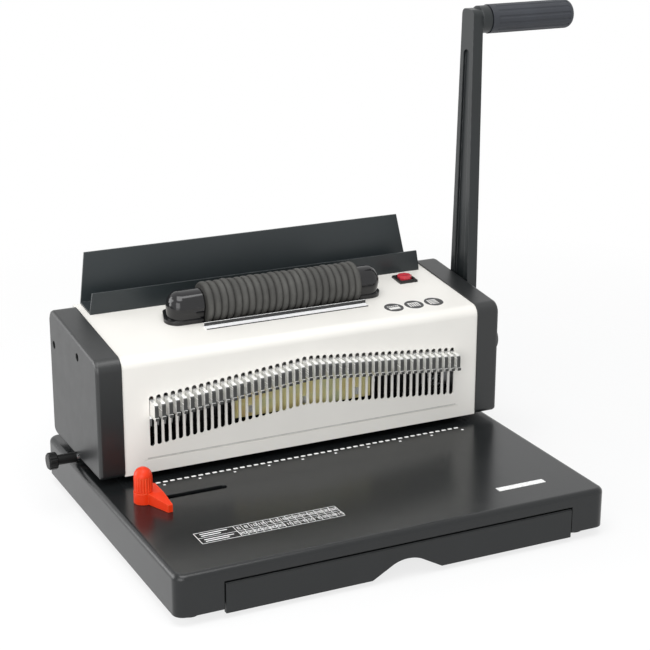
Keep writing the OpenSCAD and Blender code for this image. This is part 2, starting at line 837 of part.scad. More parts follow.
module lever_shaft() {
    color([0.6, 0.61, 0.63]) {
        difference() {
            rod_x(-cover_half - 8, lever_x1 + hub_l - 3, pivot_back, pivot_z, shaft_d / 2);
            rod_x(-cover_half - 9, -cover_half - 5, pivot_back, pivot_z, 2.5);
        }
        difference() {
            rod_x(-cover_half - 5.2, -cover_half - 3.6, pivot_back, pivot_z, shaft_d / 2 + 3);
            rod_x(-cover_half - 6, -cover_half - 3, pivot_back, pivot_z, shaft_d / 2 - 0.5);
        }
    }
}

module drive_pinions() {
    hub_end = frame_in - 2 - 2 * slide_gap;
    color([0.5, 0.51, 0.53]) both_sides() difference() {
        union() {
            translate([0, pivot_back, pivot_z]) along_x(post_x - gear_w / 2, post_x + gear_w / 2)
                gear_outline();
            rod_x(post_x - gear_w / 2 - 6, hub_end, pivot_back, pivot_z, shaft_d / 2 + 3);
        }
        rod_x(post_x - gear_w, frame_in, pivot_back, pivot_z, shaft_d / 2 + press_gap);
    }
}

module shaft_bushes() {
    color([0.72, 0.53, 0.28]) both_sides() difference() {
        union() {
            rod_x(frame_in, cover_half + 2, pivot_back, pivot_z, shaft_d / 2 + 2);
            rod_x(frame_in - 2, frame_in, pivot_back, pivot_z, shaft_d / 2 + 5);
        }
        rod_x(frame_in - 3, cover_half + 3, pivot_back, pivot_z, shaft_d / 2 + run_fit);
    }
}

// The lever's own frame: shaft at the origin, arm along +Z
module in_lever() translate([0, pivot_back, pivot_z]) rotate([lever_lean, 0, 0]) children();

// Arm seen from the side: round at the shaft, square with rounded corners at the grip
module arm_outline() {
    corner = 0.55 * lever_top_r;
    shift = lever_top_r - corner;
    hull() {
        circle(r = lever_low_r, $fn = 64);
        for (s = [-1, 1]) translate([s * shift, lever_len + shift]) circle(r = corner);
        for (s = [-1, 1]) translate([s * shift, lever_len - shift]) circle(r = corner);
    }
}

module arm_recess(rim) {
    low_r = lever_low_r - rim - 3;
    top_r = lever_top_r - rim;
    hull() {
        translate([0, hub_r + 12 + low_r]) circle(r = low_r);
        translate([0, lever_len - lever_top_r - 16 - top_r]) circle(r = top_r);
    }
}

module lever_arm() {
    color([0.1, 0.1, 0.11]) in_lever() difference() {
        union() {
            along_x(lever_x0, lever_x1) arm_outline();
            rod_x(lever_x1, lever_x1 + hub_l, 0, 0, hub_r);
            rod_x(lever_x1, lever_x1 + collar_l, 0, lever_len, collar_r);
        }
        along_x(lever_x0 - 1, lever_x0 + 2.5) arm_recess(4.5);
        rod_x(lever_x0 - 1, lever_x1 + hub_l + 1, 0, 0, shaft_d / 2 + press_gap);
        rod_x(lever_x0 + 3, lever_x1 + collar_l + 1, 0, lever_len, grip_axle_r + press_gap);
    }
}

module hub_cap() {
    end = lever_x1 + hub_l;
    color([0.08, 0.08, 0.085]) in_lever() rotate([0, 90, 0]) rotate_extrude() polygon([
        [0, end - 2.5], [shaft_d / 2 - press_gap, end - 2.5], [shaft_d / 2 - press_gap, end],
        [hub_r, end], [hub_r, end + 1], [hub_r - 2, end + 3], [0, end + 3]
    ]);
}

module grip_axle() {
    color([0.6, 0.61, 0.62]) in_lever() {
        rod_x(lever_x0 + 3, grip_x1 - 6, 0, lever_len, grip_axle_r);
        rod_x(grip_x1 - 6, grip_x1 - 3, 0, lever_len, grip_axle_r + 3);
    }
}

module lever_grip() {
    r = grip_d / 2;
    dome = 6;
    color([0.1, 0.105, 0.12]) in_lever() difference() {
        translate([0, 0, lever_len]) rotate([0, 90, 0]) rotate_extrude() {
            translate([0, grip_x0]) square([r, grip_l - dome]);
            translate([0, grip_x1 - dome - 1]) square([r - dome, dome + 1]);
            translate([r - dome, grip_x1 - dome]) circle(r = dome);
        }
        rod_x(grip_x0 - 1, grip_x1 - 5, 0, lever_len, grip_axle_r + run_fit);
        rod_x(grip_x1 - 6 - slide_gap, grip_x1 + 1, 0, lever_len, grip_axle_r + 3 + slide_gap);
        for (k = [0:grip_flutes - 1]) {
            a = 360 * (k + 0.5) / grip_flutes;
            rod_x(grip_x0 + 6, grip_x1 - dome, (r + 1.4) * cos(a), lever_len + (r + 1.4) * sin(a), 2);
        }
    }
}

// Covers

// Corner circles of an end cover's side view: centre in Y and Z, radius
function end_corners(inset) =
    let (
        p = end_proud - inset, low = cover_low + inset, rf = bend_r + end_proud,
        rs = 4, rb = 7, rt = 11, lift = end_proud / cos(slope_a)
    )
    [
        [rs - p - inset, low + rs - inset, rs - inset],
        [body_d - rb + end_proud, low + rb - inset, rb - inset],
        [body_d - rt + end_proud, top_z(body_d - rt) + lift - rt / cos(slope_a) + 0.6, rt - inset],
        [rf - end_proud, top_z(rf - end_proud) + lift - rf / cos(slope_a), rf - inset]
    ];

module end_outline(inset) {
    hull() for (c = end_corners(inset)) translate([c[0], c[1]]) circle(r = c[2], $fn = 40);
}

// Moulded shell: rounded outer edge, open towards the frame plate, with two screw bosses
module end_cover() {
    e = end_round;
    difference() {
        union() {
            difference() {
                hull() {
                    along_x(cover_half, end_out - e) end_outline(0);
                    along_x(end_out - e, end_out - 0.3 * e) end_outline(0.3 * e);
                    along_x(end_out - e, end_out) end_outline(e);
                }
                along_x(cover_half - 1, end_out - end_wall) end_outline(end_wall);
            }
            for (p = end_screws) rod_x(cover_half, end_out - end_wall + 0.5, p[0], p[1], 6);
        }
        for (p = end_screws) {
            rod_x(cover_half - 1, end_out, p[0], p[1], screw_r + press_gap);
            rod_x(cover_half + 8, end_out + 1, p[0], p[1], screw_head_r + 0.4);
        }
    }
}

module left_end_cover() {
    notch = depth_neck_r + 1;
    color([0.07, 0.07, 0.075]) difference() {
        mirror([1, 0, 0]) end_cover();
        rod_x(-end_out - 1, -cover_half + 1, depth_y, depth_z, notch);
        box([-end_out - 1, depth_y - notch, cover_low - 1], [-cover_half + 1, depth_y + notch, depth_z]);
    }
}

module right_end_cover() {
    color([0.07, 0.07, 0.075]) difference() {
        end_cover();
        rod_x(cover_half, end_out + 1, pivot_back, pivot_z, shaft_d / 2 + 1);
    }
}

// Side view of the white cover: front wall, bend and sloping top of one sheet
module cover_section(inset, low, rear) {
    r = bend_r - inset;
    c = [bend_r, front_top + slope * bend_r - bend_r / cos(slope_a)];
    translate(c) circle(r = r);
    polygon([
        [inset, low], [rear, low], [rear, top_z(rear) - inset / cos(slope_a)],
        c + r * [-sin(slope_a), cos(slope_a)], c, [inset, c[1]]
    ]);
}

module cover_profile() {
    difference() {
        cover_section(0, cover_low, body_d);
        cover_section(cover_t, cover_low - 1, body_d + 1);
    }
}

module front_cover() {
    color([0.93, 0.92, 0.89]) difference() {
        along_x(-cover_half, cover_half) cover_profile();
        along_y(-1, cover_t + 1) for (i = [0:slot_count - 1])
            translate([slot_x(i), slot_bottom + rise_at(slot_x(i))]) round_slot(slot_w, slot_h);
        on_top(0, roller_back) {
            box([-sleeve_half - 2, -roller_cut, -4], [sleeve_half + 2, roller_cut, 4]);
            box([belt_x - 5, -4, -4], [belt_x + 5, 14, 4]);
        }
        on_top(switch_x, switch_back)
            box([-bezel_w / 2 + 1.2, -bezel_d / 2 + 1.2, -4], [bezel_w / 2 - 1.2, bezel_d / 2 - 1.2, 4]);
        for (x = trough_screw_x) on_top(x, trough_screw_y)
            translate([0, 0, -4]) cylinder(r = screw_r + press_gap, h = 8);
        box([-row_half - 7, -1, cover_low + 11], [row_half + 7, 0.4, cover_low + 11.8]);
    }
}

inlet_x = -cover_half + 48;
inlet_z = base_top + 34;
inlet_w = 27;
inlet_h = 20;
rear_screw_x = frame_in - 6;
rear_screw_z = [cover_low + 14, rear_top - 18];
rear_screw_at = [for (s = [-1, 1], z = rear_screw_z) [s * rear_screw_x, z]];

module rear_cover() {
    face = body_d - cover_t;
    color([0.08, 0.08, 0.085]) difference() {
        along_y(face, body_d) translate([-cover_half, cover_low])
            square([cover_w, top_z(face) - cover_t / cos(slope_a) - cover_low]);
        box(
            [inlet_x - inlet_w / 2 - press_gap, face - 1, inlet_z - inlet_h / 2 - press_gap],
            [inlet_x + inlet_w / 2 + press_gap, body_d + 1, inlet_z + inlet_h / 2 + press_gap]
        );
        along_y(face - 1, body_d + 1) for (k = [0:11])
            translate([20 + 9 * k, base_top + 44]) round_slot(3, 40);
        for (p = rear_screw_at) rod_y(face - 1, body_d + 1, p[0], p[1], screw_r + press_gap);
    }
}

module end_cover_screws() {
    seat = cover_half + 8;
    color([0.4, 0.4, 0.42]) both_sides() for (p = end_screws)
        translate([seat, p[0], p[1]]) rotate([0, 90, 0]) screw(8 + frame_t - 0.5);
}

module rear_cover_screws() {
    color([0.3, 0.3, 0.31]) for (p = rear_screw_at)
        translate([p[0], body_d, p[1]]) rotate([-90, 0, 0]) screw(cover_t + 5);
}

module frame_screws() {
    color([0.35, 0.35, 0.36]) both_sides() {
        for (p = frame_screw_at)
            translate([cover_half, p[0], p[1]]) rotate([0, 90, 0]) screw(frame_t + tap_l - 0.5);
        for (p = flange_screws) translate([p[0], p[1], floor_top + 2.5]) screw(floor_t + 2.5);
    }
}

module base_screws() {
    color([0.4, 0.4, 0.42]) for (p = floor_bosses)
        translate([p[0], p[1], floor_z]) rotate([180, 0, 0]) screw(floor_t + 10);
}

// Coil trough: folded sheet with a low front lip and a tall back wall with tapered ends

trough_rear = body_d + 1;
trough_screw_x = [-trough_l / 3, 0, trough_l / 3];
trough_screw_y = (trough_back + trough_rear) / 2;

module coil_trough() {
    t = trough_t;
    front = trough_back;
    rear = trough_rear;
    wall_top = top_z(rear) + wall_h;
    lip_top = top_z(front) + lip_h;
    lean = wall_lean / wall_h;
    half = trough_l / 2;
    color([0.09, 0.1, 0.105]) difference() {
        intersection() {
            along_x(-half, half) polygon([
                [front, lip_top], [front, top_z(front)], [rear, top_z(rear)], [rear + wall_lean, wall_top],
                [rear + wall_lean - t, wall_top], [rear - t + lean * t, top_z(rear - t) + t],
                [front + t, top_z(front + t) + t], [front + t, lip_top]
            ]);
            along_y(front - 1, rear + wall_lean + 1) polygon([
                [-half, top_z(front) - 1], [half, top_z(front) - 1], [half, top_z(rear)],
                [half - wall_taper, wall_top + 1], [wall_taper - half, wall_top + 1], [-half, top_z(rear)]
            ]);
        }
        for (x = trough_screw_x) on_top(x, trough_screw_y)
            translate([0, 0, -1]) cylinder(r = screw_r + press_gap, h = t + 3);
    }
}

module trough_screws() {
    color([0.3, 0.3, 0.31]) for (x = trough_screw_x) on_top(x, trough_screw_y)
        translate([0, 0, trough_t]) screw(trough_t + 6);
}

// Coil inserter

module on_roller() on_top(0, roller_back) translate([0, 0, roller_up]) children();

// Turns a profile of radius and length about the roller's axis
module roller_turned() on_roller() rotate([0, 90, 0]) rotate_extrude() children();

module roller_sleeve() {
    step = sleeve_l / sleeve_ribs;
    rib_r = 0.54 * step;
    core = sleeve_d / 2 - rib_r;
    bore = roller_shaft_d / 2 + press_gap;
    color([0.2, 0.19, 0.18]) roller_turned() difference() {
        union() {
            translate([bore, -sleeve_half]) square([core - bore, sleeve_l]);
            for (k = [0:sleeve_ribs - 1])
                translate([core, -sleeve_half + (k + 0.5) * step]) circle(r = rib_r);
        }
        translate([0, sleeve_half]) square([sleeve_d, step]);
        translate([0, -sleeve_half - step]) square([sleeve_d, step]);
    }
}

module roller_shaft() {
    color([0.65, 0.66, 0.68]) on_roller()
        rod_x(belt_x - pulley_w / 2, sleeve_half + cap_gap + 7, 0, 0, roller_shaft_d / 2);
}

// Domed bearing cap: a round nose that runs down to a flanged foot on the cover
module cap_form(l) {
    x0 = sleeve_half + cap_gap;
    nose = x0 + l - cap_r * 0.8;
    front = 0.72 * cap_r;
    rear = cap_r + 4;
    difference() {
        hull() {
            translate([nose, 0, 0]) scale([0.8, 1, 1]) sphere(r = cap_r, $fn = 40);
            rod_x(x0, x0 + 1, 0, 0, cap_r);
            translate([nose, 0, -roller_up]) cylinder(r = front, h = 2, $fn = 40);
            box([x0, -front, -roller_up], [x0 + 1, rear, -roller_up + 2]);
            box([x0, 0, -roller_up], [nose + 4, rear, -roller_up + 2]);
        }
        box([x0 - 1, -2 * cap_r, -3 * cap_r], [x0 + 2 * l, 2 * cap_r, -roller_up]);
        box([x0 - cap_r, -2 * cap_r, -2 * cap_r], [x0, 2 * cap_r, 2 * cap_r]);
    }
    translate([0, 0, -roller_up]) linear_extrude(3.5) hull() {
        translate([x0 + l - front, 0]) circle(r = front + 2);
        translate([x0 + l - 8, rear - 3]) circle(r = 6);
        translate([x0, -front - 2]) square([1, front + rear + 5]);
    }
}

module left_roller_cap() {
    x0 = sleeve_half + cap_gap;
    well = cap_r - 2.2;
    color([0.03, 0.03, 0.033]) on_roller() difference() {
        mirror([1, 0, 0]) cap_form(left_cap_l);
        rod_x(-x0 - 12, -x0 + 1, 0, 0, bush_r + press_gap);
        rod_x(belt_x - 6, belt_x + 6, 0, 0, well);
        along_x(belt_x - 6, belt_x + 6) polygon([
            [-well + 1.5, 0], [-6, -roller_up - 1], [cap_r + 2, -roller_up - 1], [well - 0.5, 0]
        ]);
    }
}

module right_roller_cap() {
    x0 = sleeve_half + cap_gap;
    color([0.03, 0.03, 0.033]) on_roller() difference() {
        cap_form(right_cap_l);
        rod_x(x0 - 1, x0 + 10, 0, 0, bush_r + press_gap);
    }
}

module roller_bushes() {
    x0 = sleeve_half + cap_gap;
    color([0.72, 0.53, 0.28]) on_roller() both_sides() difference() {
        rod_x(x0, x0 + 6, 0, 0, bush_r);
        rod_x(x0 - 1, x0 + 7, 0, 0, roller_shaft_d / 2 + run_fit);
    }
}

// Angle strip in front of the roller that the coil rests against
module coil_rest_strip() {
    rear = -roller_cut - 5;
    front = rear - 7;
    color([0.85, 0.86, 0.87]) on_top(0, roller_back) along_x(-sleeve_half - 5, sleeve_half + 2)
        polygon([[front, 0], [rear, 0], [rear, 4], [rear - 1, 4], [rear - 1, 1], [front, 1]]);
}

// Angle bracket under the cover's top that carries the motor
module motor_bracket() {
    flange0 = 16;
    flange1 = 36;
    color([0.8, 0.66, 0.3]) difference() {
        union() {
            on_top(0, roller_back)
                box([bracket_x, flange0, -cover_t - bracket_t], [bracket_x + 46, flange1, -cover_t]);
            along_x(bracket_x, bracket_x + bracket_t) polygon([
                [motor_back - 16, motor_z - 17], [motor_back + 18, motor_z - 17],
                [motor_back + 18, top_z(motor_back + 18) - cover_t - 1],
                [motor_back - 1, top_z(motor_back - 1) - cover_t - 1], [motor_back - 16, motor_z + 8]
            ]);
        }
        rod_x(bracket_x - 1, bracket_x + 3, motor_back, motor_z, 4);
    }
}

module inserter_motor() {
    front = bracket_x + bracket_t;
    color([0.7, 0.7, 0.71]) difference() {
        union() {
            rod_x(front, front + 16, motor_back, motor_z, motor_d / 2);
            rod_x(front + 16, front + motor_l, motor_back, motor_z, motor_d / 2 - 1.5);
            rod_x(front + motor_l, front + motor_l + 4, motor_back, motor_z, 5);
        }
        rod_x(front - 1, front + 12, motor_back, motor_z, 2 + run_fit);
    }
}

// Flanged pulley, turned about the X axis at belt_x
module pulley(belt_r, bore) {
    rim = belt_r + belt_t + 1;
    half = belt_w / 2 + slide_gap;
    translate([belt_x, 0, 0]) rotate([0, 90, 0]) rotate_extrude() difference() {
        translate([bore, -pulley_w / 2]) square([rim - bore, pulley_w]);
        translate([belt_r - slide_gap, -half]) square([rim, 2 * half]);
    }
}

module roller_pulley()
    color([0.85, 0.84, 0.8]) on_roller() pulley(roller_belt_r, roller_shaft_d / 2 + press_gap);

module motor_pulley() {
    color([0.85, 0.84, 0.8]) translate([0, motor_back, motor_z]) {
        pulley(motor_belt_r, 1);
        rod_x(belt_x - pulley_w / 2, bracket_x + bracket_t + 10, 0, 0, 2);
    }
}

// Flat belt round both pulleys, seen along X
module belt_outline(grow) {
    hull() {
        translate([roller_y, roller_z]) circle(r = roller_belt_r + grow);
        translate([motor_back, motor_z]) circle(r = motor_belt_r + grow);
    }
}

module drive_belt() {
    color([0.08, 0.08, 0.08]) along_x(belt_x - belt_w / 2, belt_x + belt_w / 2) difference() {
        belt_outline(belt_t);
        belt_outline(0);
    }
}

// Switch and inlet

rocker_tilt = 9;
rocker_w = bezel_w - 5.6;
rocker_d = bezel_d - 5.4;

module switch_body() {
    w = bezel_w / 2;
    d = bezel_d / 2;
    body = 1.2 + press_gap;
    color([0.04, 0.04, 0.04]) on_top(switch_x, switch_back) difference() {
        union() {
            box([-w, -d, 0], [w, d, 2]);
            box([-w + 0.8, -d + 0.8, 2], [w - 0.8, d - 0.8, 2.6]);
            box([-w + body, -d + body, -18], [w - body, d - body, 0.5]);
        }
        box([-rocker_w / 2 - 0.5, -rocker_d / 2 - 0.8, -5], [rocker_w / 2 + 0.5, rocker_d / 2 + 0.8, 4]);
        rod_x(-rocker_w / 2 - 1.3, rocker_w / 2 + 1.3, 0, -1, 0.9 + run_fit);
    }
}

// Rocker with cut corners, seen from above, and a shallow dip along its top
module switch_rocker() {
    w = rocker_w / 2;
    d = rocker_d / 2;
    c = 0.28 * rocker_d;
    color([0.8, 0.06, 0.06]) on_top(switch_x, switch_back)
        translate([0, 0, -1]) rotate([-rocker_tilt, 0, 0]) {
        intersection() {
            along_x(-w, w) polygon([[-d, -1.5], [d, -1.5], [d, 6.2], [0, 5.4], [-d, 6.2]]);
            translate([0, 0, -2]) linear_extrude(10) polygon([
                [-w, c - d], [c - w, -d], [w - c, -d], [w, c - d],
                [w, d - c], [w - c, d], [c - w, d], [-w, d - c]
            ]);
        }
        rod_x(-w - 1, w + 1, 0, 0, 0.9);
    }
}

module power_inlet() {
    w = inlet_w / 2;
    h = inlet_h / 2;
    color([0.05, 0.05, 0.05]) {
        difference() {
            union() {
                box([inlet_x - w, body_d - 22, inlet_z - h], [inlet_x + w, body_d, inlet_z + h]);
                box(
                    [inlet_x - w - 2, body_d, inlet_z - h - 2],
                    [inlet_x + w + 2, body_d + 2, inlet_z + h + 2]
                );
            }
            box(
                [inlet_x - w + 1.5, body_d - 15, inlet_z - h + 2],
                [inlet_x + w - 1.5, body_d + 3, inlet_z + h - 2]
            );
        }
        for (k = [-1, 0, 1])
            translate([inlet_x + 7 * k, body_d - 16, inlet_z + (k == 0 ? 2 : -2)])
                box([-1, 0, -2], [1, 12, 2]);
    }
}

// Edge guide

guide_foot_z = base_top + 0.2;
guide_knob_z = guide_foot_z + guide_foot_h + 0.2;
guide_bolt_r = 2.5;
guide_key_w = 7;
guide_slot_w = guide_key_w + 2 * slide_gap;
guide_slot_end = 7;
guide_key_l = guide_slot_end - guide_slot_w / 2;

// Boot seen from above: round heel under the knob and a straight edge at the right for the sheets
guide_edge = 14;
guide_toe = 29.5;
module guide_foot_outline() {
    heel = guide_knob_d / 2 + 0.5;
    circle(r = heel, $fn = 64);
    polygon([
        [-heel * 0.7, heel * 0.7], [guide_edge - 2, 12], [guide_edge, 10], [guide_edge, -guide_toe],
        [guide_edge - 4, -guide_toe], [heel * 0.15, -heel * 0.95], [-heel * 0.7, 0]
    ]);
}

module edge_guide_foot() {
    color([0.93, 0.22, 0.05]) translate([guide_x, -guide_front, guide_foot_z]) difference() {
        union() {
            linear_extrude(guide_foot_h) guide_foot_outline();
            box([-guide_key_l, -guide_key_w / 2, -2.2], [guide_key_l, guide_key_w / 2, 1]);
        }
        translate([0, 0, -3]) cylinder(r = guide_bolt_r + press_gap, h = guide_foot_h + 5);
        translate([0, -guide_knob_d / 2 - 1, guide_foot_h]) rotate([8, 0, 0]) box([-20, -40, 0], [30, 0, 8]);
    }
}

module edge_guide_knob() {
    r = guide_knob_d / 2;
    h = guide_knob_h;
    dome = r - 0.2;
    ribs = 20;
    color([0.95, 0.25, 0.06]) translate([guide_x, -guide_front, guide_knob_z]) difference() {
        union() {
            linear_extrude(h - dome) difference() {
                circle(r = r);
                for (k = [0:ribs - 1])
                    rotate(360 * (k + 0.5) / ribs) translate([r + 0.3, 0]) circle(r = 0.9);
            }
            translate([0, 0, h - dome]) rotate_extrude() intersection() {
                circle(r = dome);
                translate([0, -1]) square([r, dome + 2]);
            }
        }
        translate([0, 0, -1]) cylinder(r = guide_bolt_r + run_fit, h = h - 5);
    }
}

// Bolt that clamps the guide: a square nut plate below the paper table and a plain stem
module guide_clamp_bolt() {
    under = base_top - base_wall - slide_gap;
    color([0.6, 0.61, 0.62]) translate([guide_x, -guide_front, 0]) {
        box([-6, -guide_key_w, under - 3], [6, guide_key_w, under]);
        translate([0, 0, under - 1]) cylinder(r = guide_bolt_r, h = guide_knob_z + guide_knob_h - 7 - under);
    }
}

// Depth bar: an offset round bar that turns behind the punch row, with its knob at the left

module depth_bar() {
    neck_end = -end_out - depth_knob_reach + 5;
    bar_half = post_x - post_d / 2 - 1.2;
    color([0.6, 0.61, 0.63]) {
        rod_x(-bar_half, bar_half, depth_y, depth_z + depth_offset, depth_bar_r);
        rod_x(-cover_half, cover_half, depth_y, depth_z, depth_journal_r);
        rod_x(neck_end, -cover_half + 1, depth_y, depth_z, depth_neck_r);
    }
}

module depth_knob() {
    end = -end_out - depth_knob_reach;
    head = 8;
    ribs = 12;
    color([0.06, 0.06, 0.065]) difference() {
        union() {
            translate([end, depth_y, depth_z]) rotate([0, 90, 0]) rotate_extrude() polygon([
                [0, 0], [depth_knob_d / 2 - 1.2, 0], [depth_knob_d / 2, 1.2], [depth_knob_d / 2, head - 1],
                [depth_knob_d / 2 - 1, head], [0, head]
            ]);
            rod_x(end + head, -end_out - 1, depth_y, depth_z, depth_neck_r + 0.9);
        }
        rod_x(end + 5, -end_out, depth_y, depth_z, depth_neck_r + press_gap);
        for (k = [0:ribs - 1]) {
            a = 360 * k / ribs;
            rod_x(
                end - 1, end + head + 0.5,
                depth_y + (depth_knob_d / 2 + 0.7) * cos(a), depth_z + (depth_knob_d / 2 + 0.7) * sin(a), 1.3
            );
        }
    }
}

placed() base_pan();
placed() base_floor();
placed() rubber_feet();
placed() drawer_runners();
placed() chip_drawer();
placed() left_frame_plate();
placed() right_frame_plate();
placed() lower_die();
placed() punch_guide();
placed() guide_posts();
placed() return_springs();
placed() top_tie_bar();
placed() press_beam();
placed() beam_racks();
placed() beam_stiffener();
placed() beam_bolts();
placed() punch_pins();
placed() pin_pullers();
placed() left_end_puller();
placed() right_end_puller();
placed() lever_shaft();
placed() drive_pinions();
placed() shaft_bushes();
placed() lever_arm();
placed() hub_cap();
placed() grip_axle();
placed() lever_grip();
placed() left_end_cover();
placed() right_end_cover();
placed() front_cover();
placed() rear_cover();
placed() end_cover_screws();
placed() rear_cover_screws();
placed() frame_screws();
placed() base_screws();
placed() coil_trough();
placed() trough_screws();
placed() roller_sleeve();
placed() roller_shaft();
placed() left_roller_cap();
placed() right_roller_cap();
placed() roller_bushes();
placed() coil_rest_strip();
placed() motor_bracket();
placed() inserter_motor();
placed() motor_pulley();
placed() roller_pulley();
placed() drive_belt();
placed() switch_body();
placed() switch_rocker();
placed() power_inlet();
placed() edge_guide_foot();
placed() edge_guide_knob();
placed() guide_clamp_bolt();
placed() depth_bar();
placed() depth_knob();
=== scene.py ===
import math

import bpy
import numpy as np
from mathutils import Matrix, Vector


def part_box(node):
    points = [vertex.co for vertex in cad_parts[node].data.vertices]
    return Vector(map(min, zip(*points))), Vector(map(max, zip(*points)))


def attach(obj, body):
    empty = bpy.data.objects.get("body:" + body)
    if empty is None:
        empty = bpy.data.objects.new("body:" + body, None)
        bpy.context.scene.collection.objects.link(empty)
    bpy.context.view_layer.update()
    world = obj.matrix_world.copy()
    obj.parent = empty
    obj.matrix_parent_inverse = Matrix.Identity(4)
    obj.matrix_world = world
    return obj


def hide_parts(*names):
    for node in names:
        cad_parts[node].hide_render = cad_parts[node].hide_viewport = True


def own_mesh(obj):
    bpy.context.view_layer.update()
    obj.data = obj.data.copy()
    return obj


bl_info = {
    "name": "Coil binding machine looks",
    "version": (1, 0, 0),
    "blender": (4, 5, 0),
    "location": "View3D > Sidebar > Binding machine",
    "description": "Finishes, print, foam sleeve, springs and studio stage for a coil binding machine",
    "category": "Object",
}

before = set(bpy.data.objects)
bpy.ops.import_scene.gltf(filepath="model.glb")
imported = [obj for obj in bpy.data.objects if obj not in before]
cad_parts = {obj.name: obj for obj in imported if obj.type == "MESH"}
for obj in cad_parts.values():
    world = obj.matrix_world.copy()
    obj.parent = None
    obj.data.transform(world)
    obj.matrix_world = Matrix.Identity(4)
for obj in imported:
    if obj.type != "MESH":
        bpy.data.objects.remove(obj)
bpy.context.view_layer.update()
MM = 0.001

# Places are measured from the punch row's middle, the white cover's face and the desk, at zero;
# the paper table's height is where its print lies
ROW_X = sum(corner.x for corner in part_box("front_cover")) / 2
FACE_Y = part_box("front_cover")[0].y
TABLE_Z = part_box("base_pan")[1].z

# Print on the paper table: places in millimetres as spot takes them, sizes in metres
TICK_GAP = 0.0062
TICK_HALF = (0.0011, 0.0010)
CHART_LEFT, CHART_RIGHT = -153.7, -31.5
CHART_BACK, CHART_FRONT = -115.7, -135.2
CHART_PEN = 0.00024
BAR_AT = (127, -145)
BAR_HALF = (0.0225, 0.0034)

# Labels of the chart: their share of its length, and bars by length and drop as shares of the label's box
LABEL_SHARE = 0.27
LABEL_INSET = 0.12
LABEL_BARS = ((0.7, 0.16), (0.5, 0.33), (0.75, 0.68), (0.6, 0.84))
LABEL_PEN = 0.0006

# Numbers of the chart: the first one and the step of each row, and the digits' size
CHART_ROWS = ((6, 2), (20, 15))
DIGIT_HIGH = 0.0038
DIGIT_PEN = 0.00058
STROKE_GAP = 0.00002

# Print on the white cover: places in millimetres, sizes in metres
SLOPE_FOOT_Z = 150
SIGNS_X = (96.1, 116.4, 136.5)
SIGNS_Y = 24.3
DISC_RADIUS = 0.0088
DISC_SIDES = 48
# LINE_Z and LINE_HALF: a thin grey line under the slots, painted shade of a faint groove
LINE_Z = 60.8
LINE_HALF = (0.1477, 0.0006)

# Foam sleeve and springs: the bore clears the roller's shaft, and steps and sides set the meshes
SLEEVE_BORE = 0.00402
SLEEVE_SIDES = 72
RIB_STEPS = 12
RIB_POWER = 0.36
# GROOVE_SHADE: how fast the painted shade in the sleeve's grooves grows towards their floors
GROOVE_SHADE = 1.6
TURN_STEPS = 24
WIRE_SIDES = 10

# Stage: the camera and lamps in millimetres, the floor in metres
CAMERA_AT = (-597.1, -1256.45, 616.26)
SENSOR = 36.0
FLOOR_RADII = np.array([0.5, 1.0, 2.0, 4.0])
FLOOR_SIDES = 96
FLOOR_Z = -0.0002
FADE_START, FADE_END = 0.35, 0.90
WHITE = (1.0, 1.0, 1.0, 1.0)
SKY = (0.96, 0.98, 1.0, 1.0)
LAMPS = (
    # name, place, aim, size in metres, power in watts
    ("key", (-200, -400, 1500), (0, 0, 100), 1.2, 17.0),
    ("fill", (-1000, -1100, 450), (-50, 0, 80), 1.2, 12.0),
    ("side", (-1150, 750, 420), (-150, 0, 80), 0.9, 9.0),
)

# Finishes: radii and depths in metres, and the zinc film's colours from thin to thick
BEVEL_SAMPLES = 4
RUB_AND_HIGHLIGHT_WIDTH = 0.0008
BRUSH_DEPTH = 0.000006
BRUSH_EDGE = 0.0004
ZINC_BANDS = (
    (0.30, (0.64, 0.38, 0.27)),
    (0.42, (0.72, 0.61, 0.27)),
    (0.56, (0.76, 0.71, 0.37)),
    (0.70, (0.56, 0.61, 0.38)),
)


def spot(x, y, z=0.0):
    """Point x right of the row's middle, y behind the white cover's face and z above the desk, in mm."""
    return np.array([ROW_X + x * MM, FACE_Y + y * MM, z * MM])


# Sizes and colours that a user would change

def colour_setting(name, description, default):
    return bpy.props.FloatVectorProperty(
        name=name, description=description, subtype="COLOR", size=3, min=0, max=1, default=default)


def length_setting(name, description, default, least=0.0):
    return bpy.props.FloatProperty(
        name=name, description=description, unit="LENGTH", default=default, min=least)


def count_setting(name, description, default, least, most):
    return bpy.props.IntProperty(
        name=name, description=description, default=default, min=least, max=most)


def angle_setting(name, description, degrees):
    return bpy.props.FloatProperty(
        name=name, description=description, subtype="ANGLE", default=math.radians(degrees))


class BinderFinishes(bpy.types.PropertyGroup):
    """Colours of the finishes"""
    base: colour_setting("Base", "Powder coat of the base and its drawer", (0.009, 0.0102, 0.0108))
    cover: colour_setting("Cover", "Paint of the front cover", (0.82, 0.80, 0.755))
    ends: colour_setting("End covers", "Moulded end covers", (0.006, 0.0072, 0.0076))
    trough: colour_setting("Trough", "Paint of the coil trough and rear cover", (0.015, 0.020, 0.022))
    lever: colour_setting("Lever", "Paint of the lever arm", (0.007, 0.0098, 0.0106))
    grip: colour_setting("Grip", "Rubber of the lever's grip", (0.022, 0.025, 0.032))
    sleeve: colour_setting("Sleeve", "Foam of the ribbed roller", (0.076, 0.075, 0.070))
    guide: colour_setting("Edge guide", "Plastic of the edge guide", (0.74, 0.036, 0.004))
    rocker: colour_setting("Rocker", "Plastic of the switch's rocker", (0.62, 0.035, 0.055))
    ink: colour_setting("Table print", "Printed marks on the paper table", (0.88, 0.88, 0.87))


